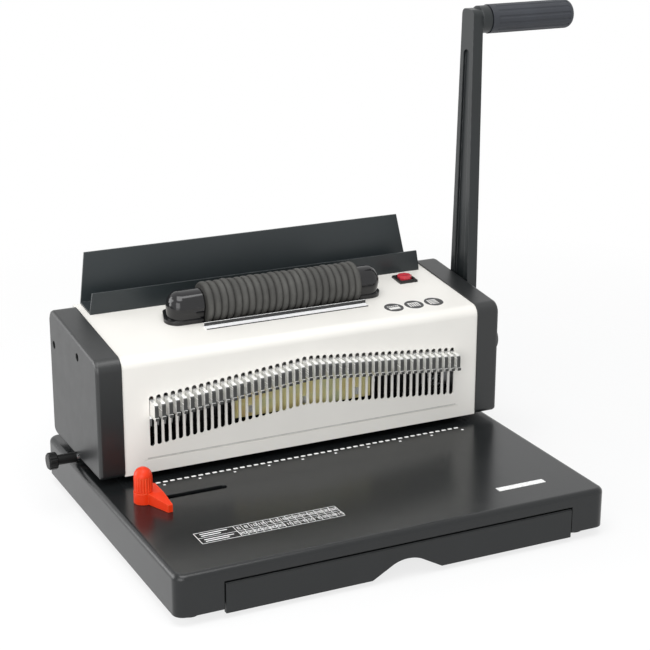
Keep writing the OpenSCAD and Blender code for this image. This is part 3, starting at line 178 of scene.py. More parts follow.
class BinderPrint(bpy.types.PropertyGroup):
    """Sizes of the print"""
    marks: count_setting("Marks", "Alignment marks, one for each punch pin", 46, 2, 60)
    pitch: length_setting("Pitch", "Distance between alignment marks", 0.00635, 0.004)
    mark_front: length_setting("Marks in front", "Row of marks in front of the cover's face", 0.0103)
    mark_long: length_setting("Mark length", "Length of one alignment mark", 0.0042, 0.001)
    mark_wide: length_setting("Mark width", "Width of one alignment mark", 0.0027, 0.001)
    tick_every: count_setting("Ticks", "Alignment marks from one tick to the next", 5, 1, 20)
    columns: count_setting("Columns", "Columns of the coil size chart", 14, 4, 20)
    ink_height: length_setting("Ink", "Height of the print above its surface", 0.00006)


class BinderSleeve(bpy.types.PropertyGroup):
    """Shape of the foam sleeve"""
    ribs: count_setting("Ribs", "Ribs along the foam sleeve", 23, 8, 30)
    groove: length_setting("Groove", "Depth of the grooves between ribs", 0.0024)
    sway: length_setting("Sway", "How unevenly the soft ribs stand", 0.0004)


class BinderSprings(bpy.types.PropertyGroup):
    """Shape of the return springs"""
    turns: count_setting("Turns", "Turns of a return spring", 9, 3, 20)
    wire: length_setting("Wire", "Wire diameter of a return spring", 0.0016, 0.0005)


class BinderStage(bpy.types.PropertyGroup):
    """Camera, floor and light"""
    lens: bpy.props.FloatProperty(
        name="Lens", description="Focal length on a 36 mm sensor, in mm", default=95.3)
    turn: angle_setting("Turn", "Camera's turn about the upright", -26.02)
    tilt: angle_setting("Tilt", "Camera's downward tilt", 18.27)
    roll: angle_setting("Roll", "Camera's roll", 0.16)
    floor: colour_setting("Floor", "Colour of the floor", (0.9, 0.9, 0.9))
    floor_white: bpy.props.FloatProperty(
        name="Floor white", subtype="FACTOR", min=0, max=1, default=0.78,
        description="Share of plain white in the floor as it is seen; the rest keeps the shadow")
    daylight: bpy.props.FloatProperty(
        name="Daylight", description="Strength of the even light all round", default=0.42)


# Shader nodes

def place(tree, kind, values=(), **settings):
    """New node with its settings, and its input sockets set or linked by name or index."""
    node = tree.nodes.new(kind)
    for key, value in settings.items():
        setattr(node, key, value)
    for key, value in dict(values).items():
        if isinstance(value, bpy.types.NodeSocket):
            tree.links.new(value, node.inputs[key])
        else:
            node.inputs[key].default_value = value
    return node


def calculate(tree, operation, *values):
    """Result of a math operation on sockets and numbers."""
    return place(tree, "ShaderNodeMath", dict(enumerate(values)), operation=operation).outputs[0]


def noise(tree, vector, scale, detail, **more):
    """Value of a noise texture."""
    values = {"Vector": vector, "Scale": scale, "Detail": detail, **more}
    return place(tree, "ShaderNodeTexNoise", values).outputs["Fac"]


def spread(tree, value, low, high, to_low=0.0, to_high=1.0):
    """Value carried from the range low to high into another range, and held at its ends."""
    values = {"Value": value, "From Min": low, "From Max": high, "To Min": to_low, "To Max": to_high}
    return place(tree, "ShaderNodeMapRange", values).outputs["Result"]


def scaled(tree, colour, factor):
    """Colour times a factor."""
    return place(tree, "ShaderNodeVectorMath", {0: colour, "Scale": factor}, operation="SCALE").outputs[0]


def mixed(tree, share, first, second):
    """Mix of two colours, with that share of the second."""
    return place(tree, "ShaderNodeMix", {0: share, 6: first, 7: second}, data_type="RGBA").outputs[2]


# Shader node groups shared by the finishes

def new_group(name, inputs, outputs):
    """Empty shader group with named sockets, each given as label, kind and default: its tree, the sockets
    that it is given and the sockets that it puts out."""
    tree = bpy.data.node_groups.new(name, "ShaderNodeTree")
    for label, kind, default in inputs:
        socket = tree.interface.new_socket(name=label, in_out="INPUT", socket_type="NodeSocket" + kind)
        if default is not None:
            socket.default_value = default
    for label, kind in outputs:
        tree.interface.new_socket(name=label, in_out="OUTPUT", socket_type="NodeSocket" + kind)
    return tree, tree.nodes.new("NodeGroupInput").outputs, tree.nodes.new("NodeGroupOutput").inputs


def grain_group():
    """Moulded or sprayed skin: fine noise plus a share of sparser pits, as one height."""
    tree, given, result = new_group(
        "Surface grain",
        [("Vector", "Vector", None), ("Scale", "Float", 900.0), ("Pits", "Float", 0.3)],
        [("Height", "Float")])
    fine = noise(tree, given["Vector"], given["Scale"], 3.0, Roughness=0.55)
    pits = place(tree, "ShaderNodeTexVoronoi", {"Vector": given["Vector"], "Scale": given["Scale"]})
    share = calculate(tree, "MULTIPLY", pits.outputs["Distance"], given["Pits"])
    tree.links.new(calculate(tree, "ADD", fine, share), result["Height"])
    return tree


def drift_group():
    """Slow change of tone and gloss over a surface: two noises, one broad and one like finger smudges."""
    tree, given, result = new_group(
        "Tone drift",
        [("Vector", "Vector", None), ("Colour", "Color", None), ("Amount", "Float", 0.1),
         ("Scale", "Float", 14.0), ("Roughness", "Float", 0.5), ("Smudge", "Float", 0.1)],
        [("Colour", "Color"), ("Roughness", "Float")])
    broad = noise(tree, given["Vector"], given["Scale"], 4.0)
    tone = spread(tree, broad, 0.3, 0.7, -1.0, 1.0)
    gain = calculate(tree, "MULTIPLY_ADD", tone, given["Amount"], 1.0)
    tree.links.new(scaled(tree, given["Colour"], gain), result["Colour"])
    closer = calculate(tree, "MULTIPLY", given["Scale"], 5.0)
    smudge = noise(tree, given["Vector"], closer, 6.0, Roughness=0.65)
    swing = calculate(tree, "ADD", smudge, -0.5)
    rough = calculate(tree, "MULTIPLY_ADD", swing, given["Smudge"], given["Roughness"])
    tree.links.new(rough, result["Roughness"])
    return tree


def brush_group():
    """Ground or brushed metal: noise stretched along one axis, as a tint, a roughness and a height."""
    tree, given, result = new_group(
        "Brushed lines",
        [("Vector", "Vector", None), ("Stretch", "Vector", (900.0, 12.0, 900.0)), ("Colour", "Color", None),
         ("Contrast", "Float", 0.2), ("Roughness", "Float", 0.3)],
        [("Colour", "Color"), ("Roughness", "Float"), ("Height", "Float")])
    long = place(tree, "ShaderNodeVectorMath", {0: given["Vector"], 1: given["Stretch"]},
                 operation="MULTIPLY")
    lines = noise(tree, long.outputs[0], 1.0, 3.0)
    swing = calculate(tree, "ADD", lines, -0.5)
    shade = calculate(tree, "MULTIPLY_ADD", swing, given["Contrast"], 1.0)
    rough = calculate(tree, "MULTIPLY_ADD", swing, 0.35, given["Roughness"])
    tree.links.new(scaled(tree, given["Colour"], shade), result["Colour"])
    tree.links.new(rough, result["Roughness"])
    tree.links.new(lines, result["Height"])
    return tree


def rub_group():
    """Paint rubbed thin along edges, with a painted highlight on them: a lighter colour where the rounded
    normal leaves the true one, broken up by noise.
    """
    tree, given, result = new_group(
        "Edge wear and highlight",
        [("Vector", "Vector", None), ("Colour", "Color", None), ("Worn and highlight", "Color", (0.2, 0.2, 0.2, 1.0)),
         ("Amount", "Float", 0.3)],
        [("Colour", "Color")])
    soft = place(tree, "ShaderNodeBevel", {"Radius": RUB_AND_HIGHLIGHT_WIDTH}, samples=BEVEL_SAMPLES)
    true = tree.nodes.new("ShaderNodeNewGeometry")
    along = place(tree, "ShaderNodeVectorMath", {0: soft.outputs[0], 1: true.outputs["Normal"]},
                  operation="DOT_PRODUCT")
    edge = spread(tree, along.outputs["Value"], 0.995, 0.86)
    patchy = noise(tree, given["Vector"], 160.0, 4.0)
    broken = spread(tree, patchy, 0.4, 0.65, 0.25, 1.0)
    mask = calculate(tree, "MULTIPLY", calculate(tree, "MULTIPLY", edge, broken), given["Amount"])
    tree.links.new(mixed(tree, mask, given["Colour"], given["Worn and highlight"]), result["Colour"])
    return tree


def group(name):
    """The shared node group of that name, built the first time it is asked for."""
    makers = {"Surface grain": grain_group, "Tone drift": drift_group, "Brushed lines": brush_group,
              "Edge wear and highlight": rub_group}
    return bpy.data.node_groups.get(name) or makers[name]()


# Finishes

def opaque(colour):
    return (*colour[:3], 1.0)


def start_finish(name, metallic=0.0, coat=0.0, specular=0.5):
    """Material with a Principled shader whose plain values are set on its own sockets."""
    material = bpy.data.materials.new(name)
    material.use_nodes = True
    tree = material.node_tree
    tree.nodes.clear()
    out = tree.nodes.new("ShaderNodeOutputMaterial")
    shader = place(tree, "ShaderNodeBsdfPrincipled", {
        "Metallic": metallic, "Coat Weight": coat, "Coat Roughness": 0.08, "Specular IOR Level": specular})
    tree.links.new(shader.outputs[0], out.inputs["Surface"])
    where = tree.nodes.new("ShaderNodeTexCoord").outputs["Object"]
    return material, tree, shader, where


def raise_skin(tree, shader, height, depth, edge=0.0):
    """Bump from a height, over normals rounded at the edges where edge gives a radius in metres."""
    bump = place(tree, "ShaderNodeBump", {"Height": height, "Strength": 1.0, "Distance": depth})
    if edge:
        soft = place(tree, "ShaderNodeBevel", {"Radius": edge}, samples=BEVEL_SAMPLES)
        tree.links.new(soft.outputs[0], bump.inputs["Normal"])
    tree.links.new(bump.outputs[0], shader.inputs["Normal"])


def skin_finish(name, colour, roughness, grain=900.0, depth=0.00002, pits=0.3, drift=0.12, scale=14.0,
                smudge=0.12, worn_and_highlight=None, rub_and_highlight=0.0, edge=0.0006, groove=None, **plain):
    """Painted or moulded finish: grain in the normal, tone drift in colour and gloss, edge wear with a
    painted highlight where asked, and painted shade where the mesh's own groove attribute rises to 1,
    darkening to the groove colour."""
    material, tree, shader, where = start_finish(name, **plain)
    tone = place(tree, "ShaderNodeGroup", {
        "Vector": where, "Colour": opaque(colour), "Amount": drift, "Scale": scale, "Roughness": roughness,
        "Smudge": smudge}, node_tree=group("Tone drift"))
    shade = tone.outputs["Colour"]
    # Edge wear and painted highlight: a lighter colour along the edges
    if rub_and_highlight:
        shade = place(tree, "ShaderNodeGroup", {
            "Vector": where, "Colour": shade, "Worn and highlight": opaque(worn_and_highlight), "Amount": rub_and_highlight},
            node_tree=group("Edge wear and highlight")).outputs["Colour"]
    # Painted shade: the colour darkens towards the given groove colour where the mesh's groove attribute
    # rises
    if groove:
        groove_shade = place(tree, "ShaderNodeAttribute", attribute_name="groove")
        shade = mixed(tree, groove_shade.outputs["Fac"], shade, opaque(groove))
    tree.links.new(shade, shader.inputs["Base Color"])
    tree.links.new(tone.outputs["Roughness"], shader.inputs["Roughness"])
    skin = place(tree, "ShaderNodeGroup", {"Vector": where, "Scale": grain, "Pits": pits},
                 node_tree=group("Surface grain"))
    raise_skin(tree, shader, skin.outputs["Height"], depth, edge)
    return material


def brushed_lines(tree, where, colour, roughness, stretch, contrast):
    """Colour, roughness and height of the shared brushed lines, set for one metal."""
    return place(tree, "ShaderNodeGroup", {
        "Vector": where, "Stretch": stretch, "Colour": opaque(colour), "Contrast": contrast,
        "Roughness": roughness}, node_tree=group("Brushed lines")).outputs


def metal_finish(name, colour, roughness, stretch, contrast=0.25):
    """Bare or plated metal with lines along one axis."""
    material, tree, shader, where = start_finish(name, metallic=1.0)
    lines = brushed_lines(tree, where, colour, roughness, stretch, contrast)
    tree.links.new(lines["Colour"], shader.inputs["Base Color"])
    tree.links.new(lines["Roughness"], shader.inputs["Roughness"])
    raise_skin(tree, shader, lines["Height"], BRUSH_DEPTH, BRUSH_EDGE)
    return material


def sheared_finish(name, plated, painted_shade, roughness, stretch=(700, 30, 700), metallic=0.5):
    """Plated sheet metal with painted shade: faces turned front, back or down take a darker colour and a
    rougher gloss, standing in for the shade and dark reflections on them.
    """
    material, tree, shader, where = start_finish(name, metallic=metallic)
    lines = brushed_lines(tree, where, plated, roughness, stretch, 0.3)
    faces = tree.nodes.new("ShaderNodeNewGeometry")
    facing = place(tree, "ShaderNodeSeparateXYZ", {0: faces.outputs["True Normal"]}).outputs
    upright = calculate(tree, "ABSOLUTE", facing["Y"])
    under = calculate(tree, "MULTIPLY", facing["Z"], -1.0)
    # Mask of the faces turned front, back or down, where shade is painted
    painted_shade_mask = spread(tree, calculate(tree, "MAXIMUM", upright, under), 0.45, 0.85)
    gloss = place(tree, "ShaderNodeMix", {0: painted_shade_mask, 2: lines["Roughness"], 3: 0.5})
    tree.links.new(mixed(tree, painted_shade_mask, lines["Colour"], opaque(painted_shade)), shader.inputs["Base Color"])
    tree.links.new(gloss.outputs[0], shader.inputs["Roughness"])
    raise_skin(tree, shader, lines["Height"], BRUSH_DEPTH, BRUSH_EDGE)
    return material


def zinc_finish(name):
    """Yellow passivated zinc: the film's thickness drifts, so gold runs to green and rose in clouds."""
    material, tree, shader, where = start_finish(name, metallic=0.35)
    film = noise(tree, where, 38.0, 5.0, Distortion=0.6)
    ramp = place(tree, "ShaderNodeValToRGB", {"Fac": film})
    bands = ramp.color_ramp.elements
    bands.remove(bands[1])
    bands[0].position = ZINC_BANDS[0][0]
    bands[0].color = opaque(ZINC_BANDS[0][1])
    for thickness, colour in ZINC_BANDS[1:]:
        bands.new(thickness).color = opaque(colour)
    tree.links.new(ramp.outputs["Color"], shader.inputs["Base Color"])
    tree.links.new(spread(tree, film, 0.0, 1.0, 0.28, 0.5), shader.inputs["Roughness"])
    raise_skin(tree, shader, film, 0.00001)
    return material


def ink_finish(name, colour, roughness, drift, scale):
    """Printing ink, also used for one line of painted shade: a dry skin without rounded edges."""
    return skin_finish(
        name, colour, roughness, grain=1500, depth=0.00001, drift=drift, scale=scale, edge=0.0)


def dress(material, *nodes):
    """Puts a finish on CAD nodes."""
    for name in nodes:
        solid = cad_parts[name]
        if not solid.material_slots:
            solid.data.materials.append(material)
        for slot in solid.material_slots:
            slot.material = material


# Surfaces

def mesh_piece(name, points, faces, material, body, smooth=True):
    """Object at the origin whose mesh holds its place; it rides on a body and takes a finish slot."""
    mesh = bpy.data.meshes.new(name)
    mesh.from_pydata(np.asarray(points).tolist(), [], [list(f) for f in faces])
    mesh.polygons.foreach_set("use_smooth", np.full(len(mesh.polygons), smooth))
    mesh.materials.append(material)
    mesh.update()
    piece = bpy.data.objects.new(name, mesh)
    bpy.context.scene.collection.objects.link(piece)
    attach(piece, body)
    return piece


def ring_faces(rows, around):
    """Quads between neighbouring rings of a tube: each ring closes on itself."""
    r, a = np.meshgrid(np.arange(rows - 1) * around, np.arange(around), indexing="ij")
    b = (a + 1) % around
    return np.stack([r + a, r + b, r + around + b, r + around + a], -1).reshape(-1, 4)


def slabs(outlines, low, high):
    """Thin closed slabs: flat outlines, as (n, m, 2) corners run anticlockwise, carried from low to
    high in Z."""
    outlines = np.asarray(outlines, float)
    n, m = outlines.shape[:2]
    flat = outlines.reshape(-1, 2)
    points = np.concatenate([np.column_stack([flat, np.full(n * m, z)]) for z in (low, high)])
    first = (np.arange(n) * m)[:, None]
    k = np.arange(m)[None]
    below, above = first + k, first + k + n * m
    after = first + (k + 1) % m
    walls = np.stack([below, after, after + n * m, above], -1).reshape(-1, 4)
    return points, [*below[:, ::-1].tolist(), *above.tolist(), *walls.tolist()]


def rectangles(bars):
    """Corners of upright rectangles from rows of centre x, centre y, half width and half height."""
    bars = np.asarray(bars, float)
    sign = np.array([[-1, -1], [1, -1], [1, 1], [-1, 1]], float)
    return bars[:, None, :2] + sign * bars[:, None, 2:]


def rounded(centres, half_x, half_y, power=4.0, corners=16):
    """Superellipses |x/a|^p + |y/b|^p = 1 round each centre."""
    t = np.arange(corners) * 2 * np.pi / corners
    c, s = np.cos(t), np.sin(t)
    shape = np.column_stack([
        half_x * np.sign(c) * np.abs(c) ** (2 / power), half_y * np.sign(s) * np.abs(s) ** (2 / power)])
    return np.asarray(centres, float)[:, None] + shape


def ribbed_sleeve(low, high, sizes):
    """Foam tube about X in the box from low to high: its radius loses the groove's depth times one less a
    power of |sin| of the rib phase. Each rib's crown sways a little, outward and along, by waves round the
    tube whose phase differs from rib to rib. Flat ends run in to the bore. Also gives each point's share of
    painted shade, from 0 to 1, growing with its depth in a groove."""
    v = np.linspace(0, 1, sizes.ribs * RIB_STEPS + 1)
    t = np.arange(SLEEVE_SIDES) * 2 * np.pi / SLEEVE_SIDES
    crown = np.abs(np.sin(np.pi * sizes.ribs * v)) ** RIB_POWER
    rib = np.minimum((v * sizes.ribs).astype(int), sizes.ribs - 1)[:, None]
    lean = np.sin(1.7 * rib + 2 * t) * 0.6 + np.sin(2.9 * rib - t) * 0.4
    shift = np.cos(2.3 * rib + t) * 0.8
    full = (high[2] - low[2]) / 2 - sizes.sway
    r = full - sizes.groove * (1 - crown)[:, None] + sizes.sway * lean * crown[:, None]
    x = low[0] + v[:, None] * (high[0] - low[0]) + sizes.sway * shift * crown[:, None]
    bore, left, right = (np.full((1, SLEEVE_SIDES), value) for value in (SLEEVE_BORE, low[0], high[0]))
    r = np.concatenate([bore, r, bore, bore])
    x = np.concatenate([left, x, right, left])
    centre = (low + high) / 2
    points = np.stack([x, centre[1] + r * np.cos(t), centre[2] + r * np.sin(t)], -1).reshape(-1, 3)
    # Share of painted shade on each ring, darkest at the groove floors
    groove_shade = np.concatenate([[0.0], np.clip(GROOVE_SHADE * (1 - crown), 0, 1), [0.0, 0.0]])
    return points, ring_faces(len(r), SLEEVE_SIDES), np.repeat(groove_shade, SLEEVE_SIDES)


def wound_springs(centres, low, high, radius, wire, turns):
    """Round wires wound about Z, one round each centre: the wire's middle keeps its radius while it climbs
    evenly from low to high, and flat caps close its ends."""
    steps = turns * TURN_STEPS + 1
    a = np.linspace(0, 2 * np.pi * turns, steps)[:, None]
    b = np.arange(WIRE_SIDES) * 2 * np.pi / WIRE_SIDES
    out = radius + wire / 2 * np.cos(b)
    climb = np.linspace(low + wire / 2, high - wire / 2, steps)[:, None] + wire / 2 * np.sin(b)
    one = np.stack([out * np.cos(a), out * np.sin(a), climb], -1).reshape(-1, 3)
    first = np.arange(WIRE_SIDES)
    caps = [first, len(one) - 1 - first]
    faces = [*ring_faces(steps, WIRE_SIDES)[:, ::-1], *caps]
    points = np.concatenate([one + (*centre, 0.0) for centre in centres])
    return points, [(face + k * len(one)).tolist() for k in range(len(centres)) for face in faces]


# Strokes of the digits on a grid of two by four: start x, start y, end x, end y
DIGITS = {
    "0": ((0, 0, 2, 0), (2, 0, 2, 4), (0, 4, 2, 4), (0, 0, 0, 4)),
    "1": ((1, 0, 1, 4),),
    "2": ((0, 4, 2, 4), (2, 2, 2, 4), (0, 2, 2, 2), (0, 0, 0, 2), (0, 0, 2, 0)),
    "3": ((0, 4, 2, 4), (2, 0, 2, 4), (0, 2, 2, 2), (0, 0, 2, 0)),
    "4": ((0, 2, 0, 4), (0, 2, 2, 2), (2, 0, 2, 4)),
    "5": ((0, 4, 2, 4), (0, 2, 0, 4), (0, 2, 2, 2), (2, 0, 2, 2), (0, 0, 2, 0)),
    "6": ((0, 4, 2, 4), (0, 0, 0, 4), (0, 2, 2, 2), (2, 0, 2, 2), (0, 0, 2, 0)),
    "7": ((0, 4, 2, 4), (2, 0, 2, 4)),
    "8": ((0, 0, 2, 0), (2, 0, 2, 4), (0, 4, 2, 4), (0, 0, 0, 4), (0, 2, 2, 2)),
    "9": ((0, 0, 2, 0), (2, 0, 2, 4), (0, 4, 2, 4), (0, 2, 0, 4), (0, 2, 2, 2)),
}


def number_bars(number, x, y):
    """Bars of a number centred at x, y: its digits' strokes at the pen's width, the upright ones a hair
    slimmer, so that no two share a corner."""
    text = str(number)
    step = DIGIT_HIGH / 4
    left = x - (3 * len(text) - 1) * step / 2
    lines = np.array([
        (left + (3 * i + a) * step, y + (b - 2) * step, left + (3 * i + c) * step, y + (d - 2) * step)
        for i, digit in enumerate(text) for a, b, c, d in DIGITS[digit]])
    start, end = lines[:, :2], lines[:, 2:]
    upright = start[:, :1] == end[:, :1]
    return np.hstack([(start + end) / 2, (end - start) / 2 + DIGIT_PEN / 2 - STROKE_GAP * upright])


def chart_bars(columns):
    """Bars of the coil size chart: its grid, the bars of its labels, and the numbers in its cells."""
    left, back, _ = spot(CHART_LEFT, CHART_BACK)
    right, front, _ = spot(CHART_RIGHT, CHART_FRONT)
    halfway = (back + front) / 2
    label = LABEL_SHARE * (right - left)
    edges = np.linspace(left + label, right, columns + 1)
    across = [
        ((left + right) / 2, y, (right - left) / 2 + CHART_PEN, CHART_PEN) for y in (back, halfway, front)]
    upright = [(x, halfway, CHART_PEN, (back - front) / 2) for x in (left, *edges)]
    labels = [
        (left + (LABEL_INSET + long / 2) * label, back + (front - back) * drop, long / 2 * label, LABEL_PEN)
        for long, drop in LABEL_BARS]
    rows = ((back + halfway) / 2, (halfway + front) / 2)
    numbers = [
        number_bars(first + step * k, x, y)
        for y, (first, step) in zip(rows, CHART_ROWS) for k, x in enumerate((edges[:-1] + edges[1:]) / 2)]
    return np.concatenate([across, upright, labels, *numbers])


def sign_bars():
    """Bars of the three signs, in metres from each centre: holes over a sheet, the turns of a coil, and a
    sheet with lines."""
    holes = [(x, 0.0026, 0.0007, 0.0007) for x in np.linspace(-0.0048, 0.0048, 6)]
    turns = [(x, 0.0, 0.0006, 0.0042) for x in np.linspace(-0.0045, 0.0045, 5)]
    lines = [(0.0, y, 0.0034, 0.0007) for y in np.linspace(-0.0040, 0.0040, 4)]
    sheet = (0.0, -0.0018, 0.0052, 0.0022)
    wire = (0.0, 0.0035, 0.0052, 0.0006)
    margin = (-0.0046, 0.0, 0.0006, 0.0046)
    return [*holes, sheet], [*turns, wire], [*lines, margin]


# Operators

class BINDER_OT_shells(bpy.types.Operator):
    """Finishes of the base, drawer, covers and trough"""
    bl_idname = "binder.shells"
    bl_label = "Shells"

    def execute(self, context):
        tone = context.scene.binder_finishes
        dress(skin_finish(
            "Base powder coat", tone.base, 0.23, grain=700, depth=0.000008, drift=0.15, smudge=0.10,
            worn_and_highlight=(0.10, 0.10, 0.105), rub_and_highlight=0.10, edge=0.0012, specular=0.42), "base_pan")
        dress(skin_finish(
            "Drawer moulding", tone.base, 0.42, worn_and_highlight=(0.1, 0.1, 0.1), rub_and_highlight=0.10, edge=0.0008,
            specular=0.4), "chip_drawer")
        dress(skin_finish(
            "White powder coat", tone.cover, 0.42, grain=800, depth=0.000015, drift=0.02, smudge=0.1,
            worn_and_highlight=(0.86, 0.85, 0.82), rub_and_highlight=0.2, edge=0.0005), "front_cover")
        dress(skin_finish(
            "End moulding", tone.ends, 0.38, grain=1100, depth=0.00003, pits=0.5, drift=0.14,
            worn_and_highlight=(0.12, 0.12, 0.12), rub_and_highlight=0.12, edge=0.0012, specular=0.62),
            "left_end_cover", "right_end_cover")
        dress(skin_finish(
            "Slate paint", tone.trough, 0.38, grain=800, depth=0.000015, worn_and_highlight=(0.16, 0.17, 0.17), rub_and_highlight=0.4,
            edge=0.0005), "coil_trough", "rear_cover")
        dress(skin_finish("Floor enamel", (0.03, 0.03, 0.031), 0.5, drift=0.15), "base_floor")
        dress(skin_finish(
            "Foot rubber", (0.018, 0.018, 0.018), 0.8, grain=500, depth=0.00006, pits=0.8, drift=0.2,
            edge=0.001), "rubber_feet")
        return {"FINISHED"}


class BINDER_OT_punch(bpy.types.Operator):
    """Return springs, and finishes of the punch"""
    bl_idname = "binder.punch"
    bl_label = "Punch"

    def execute(self, context):
        # The pullers' faces turned front, back or down are painted dark: painted shade and reflection
        dress(sheared_finish("Puller plate", (0.92, 0.92, 0.90), (0.065, 0.067, 0.065), 0.22),
              "pin_pullers", "left_end_puller", "right_end_puller")
        steel = metal_finish("Ground steel", (0.56, 0.57, 0.58), 0.26, (40, 900, 900))
        dress(steel, "guide_posts", "return_springs", "lever_shaft", "depth_bar", "roller_shaft")
        self.springs(steel, context.scene.binder_springs)
        dress(metal_finish("Tool steel", (0.36, 0.37, 0.39), 0.32, (900, 900, 60)),
              "lower_die", "beam_racks", "drive_pinions")
        # The pins' near-black colour is painted shade: they are bare steel lying in shadow under the
        # pullers
        dress(metal_finish("Pin steel, painted shade", (0.06, 0.06, 0.065), 0.4, (900, 900, 60)), "punch_pins")
        dress(metal_finish("Bright zinc", (0.62, 0.63, 0.64), 0.36, (300, 300, 60), contrast=0.3),
              "left_frame_plate", "right_frame_plate", "drawer_runners", "frame_screws", "base_screws",
              "grip_axle", "guide_clamp_bolt", "beam_bolts")
        dress(metal_finish("Sintered bronze", (0.46, 0.30, 0.13), 0.42, (500, 500, 500)),
              "shaft_bushes", "roller_bushes")
        dress(skin_finish(
            "Blackened steel", (0.010, 0.010, 0.011), 0.5, grain=1200, worn_and_highlight=(0.1, 0.1, 0.1), rub_and_highlight=0.2,
            specular=0.15), "press_beam", "punch_guide", "top_tie_bar", "end_cover_screws",
            "rear_cover_screws", "trough_screws")
        dress(zinc_finish("Yellow zinc"), "beam_stiffener", "motor_bracket")
        return {"FINISHED"}

    @staticmethod
    def springs(steel, sizes):
        """Both return springs as one piece, in place of the CAD springs, which are hidden."""
        low, high = (np.array(corner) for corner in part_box("return_springs"))
        reach = (high[1] - low[1]) / 2
        centres = [(x, low[1] + reach) for x in (low[0] + reach, high[0] - reach)]
        points, faces = wound_springs(
            centres, low[2], high[2], reach - sizes.wire / 2, sizes.wire, sizes.turns)
        springs = mesh_piece("wound_springs", points, faces, steel, "frame")
        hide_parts("return_springs")
        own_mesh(springs)


class BINDER_OT_lever(bpy.types.Operator):
    """Finishes of the lever arm, its hub cap and its grip"""
    bl_idname = "binder.lever"
    bl_label = "Lever"

    def execute(self, context):
        tone = context.scene.binder_finishes
        dress(skin_finish(
            "Lever paint", tone.lever, 0.38, grain=600, depth=0.00003, worn_and_highlight=(0.2, 0.2, 0.21), rub_and_highlight=0.4,
            edge=0.0012), "lever_arm", "hub_cap")
        dress(skin_finish(
            "Grip rubber", tone.grip, 0.55, grain=1300, depth=0.00005, pits=0.7, drift=0.16,
            scale=30), "lever_grip")
        return {"FINISHED"}


class BINDER_OT_inserter(bpy.types.Operator):
    """Foam sleeve, and finishes of the coil inserter"""
    bl_idname = "binder.inserter"
    bl_label = "Coil inserter"

    def execute(self, context):
        # The groove colour is painted shade in the sleeve's grooves
        foam = skin_finish(
            "Sleeve foam", context.scene.binder_finishes.sleeve, 0.82, grain=1600, depth=0.00014, pits=1.0,
            drift=0.25, scale=60, smudge=0.06, edge=0.0, specular=0.3, groove=(0.028, 0.027, 0.025))
        low, high = (np.array(corner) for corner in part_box("roller_sleeve"))
        points, faces, groove_shade = ribbed_sleeve(low, high, context.scene.binder_sleeve)
        sleeve = mesh_piece("foam_sleeve", points, faces, foam, "roller")
        sleeve.data.attributes.new("groove", "FLOAT", "POINT").data.foreach_set("value", groove_shade)
        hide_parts("roller_sleeve")
        dress(foam, "roller_sleeve")
        dress(skin_finish(
            "Gloss black moulding", (0.006, 0.006, 0.007), 0.07, grain=200, depth=0.000002, drift=0.1,
            smudge=0.05, edge=0.001), "left_roller_cap", "right_roller_cap")
        # The strip's near-white colour with little metal is a painted reflection of the white surroundings;
        # its faces turned front, back or down are painted shade
        dress(sheared_finish(
            "Bright strip", (0.95, 0.95, 0.95), (0.02, 0.02, 0.02), 0.25, stretch=(20, 900, 900),
            metallic=0.05), "coil_rest_strip")
        dress(skin_finish("Pulley nylon", (0.66, 0.64, 0.58), 0.5, drift=0.06),
              "motor_pulley", "roller_pulley")
        dress(skin_finish("Belt rubber", (0.012, 0.012, 0.012), 0.7, depth=0.00005), "drive_belt")
        dress(metal_finish("Motor can", (0.52, 0.52, 0.53), 0.4, (60, 500, 500)), "inserter_motor")
        return {"FINISHED"}


class BINDER_OT_controls(bpy.types.Operator):
    """Finishes of the switch, inlet, edge guide and depth knob"""
    bl_idname = "binder.controls"
    bl_label = "Controls"

    def execute(self, context):
        tone = context.scene.binder_finishes
        dress(skin_finish("Switch moulding", (0.010, 0.010, 0.010), 0.28, drift=0.1),
              "switch_body", "power_inlet")
        dress(skin_finish(
            "Rocker red", tone.rocker, 0.22, grain=400, depth=0.000008, drift=0.08, edge=0.0009,
            coat=0.2), "switch_rocker")
        dress(skin_finish(
            "Guide orange", tone.guide, 0.40, drift=0.06, worn_and_highlight=(0.95, 0.25, 0.10), rub_and_highlight=0.5, edge=0.0007,
            specular=0.3), "edge_guide_foot", "edge_guide_knob")
        dress(skin_finish("Knob moulding", (0.005, 0.005, 0.005), 0.34, edge=0.0005, specular=0.2),
              "depth_knob")
        return {"FINISHED"}


class BINDER_OT_table_print(bpy.types.Operator):
    """White print on the paper table: a mark for each pin, ticks, a coil size chart and a plain bar"""
    bl_idname = "binder.table_print"
    bl_label = "Table print"

    def execute(self, context):
        sizes = context.scene.binder_print
        ink = ink_finish("Table ink", context.scene.binder_finishes.ink, 0.55, drift=0.18, scale=400)
        row = FACE_Y - sizes.mark_front
        x = ROW_X + (np.arange(sizes.marks) - (sizes.marks - 1) / 2) * sizes.pitch
        ticks = [(at + sizes.pitch / 2, row - TICK_GAP, *TICK_HALF) for at in x[::sizes.tick_every]]
        outlines = {
            "pin_marks": rounded([(at, row) for at in x], sizes.mark_long / 2, sizes.mark_wide / 2),
            "size_ticks": rectangles(ticks),
            "coil_chart": rectangles(chart_bars(sizes.columns)),
            "plain_bar": rectangles([(*spot(*BAR_AT)[:2], *BAR_HALF)]),
        }
        for name, corners in outlines.items():
            points, faces = slabs(corners, TABLE_Z - sizes.ink_height, TABLE_Z + sizes.ink_height)
            mesh_piece(name, points, faces, ink, "frame", smooth=False)
        return {"FINISHED"}


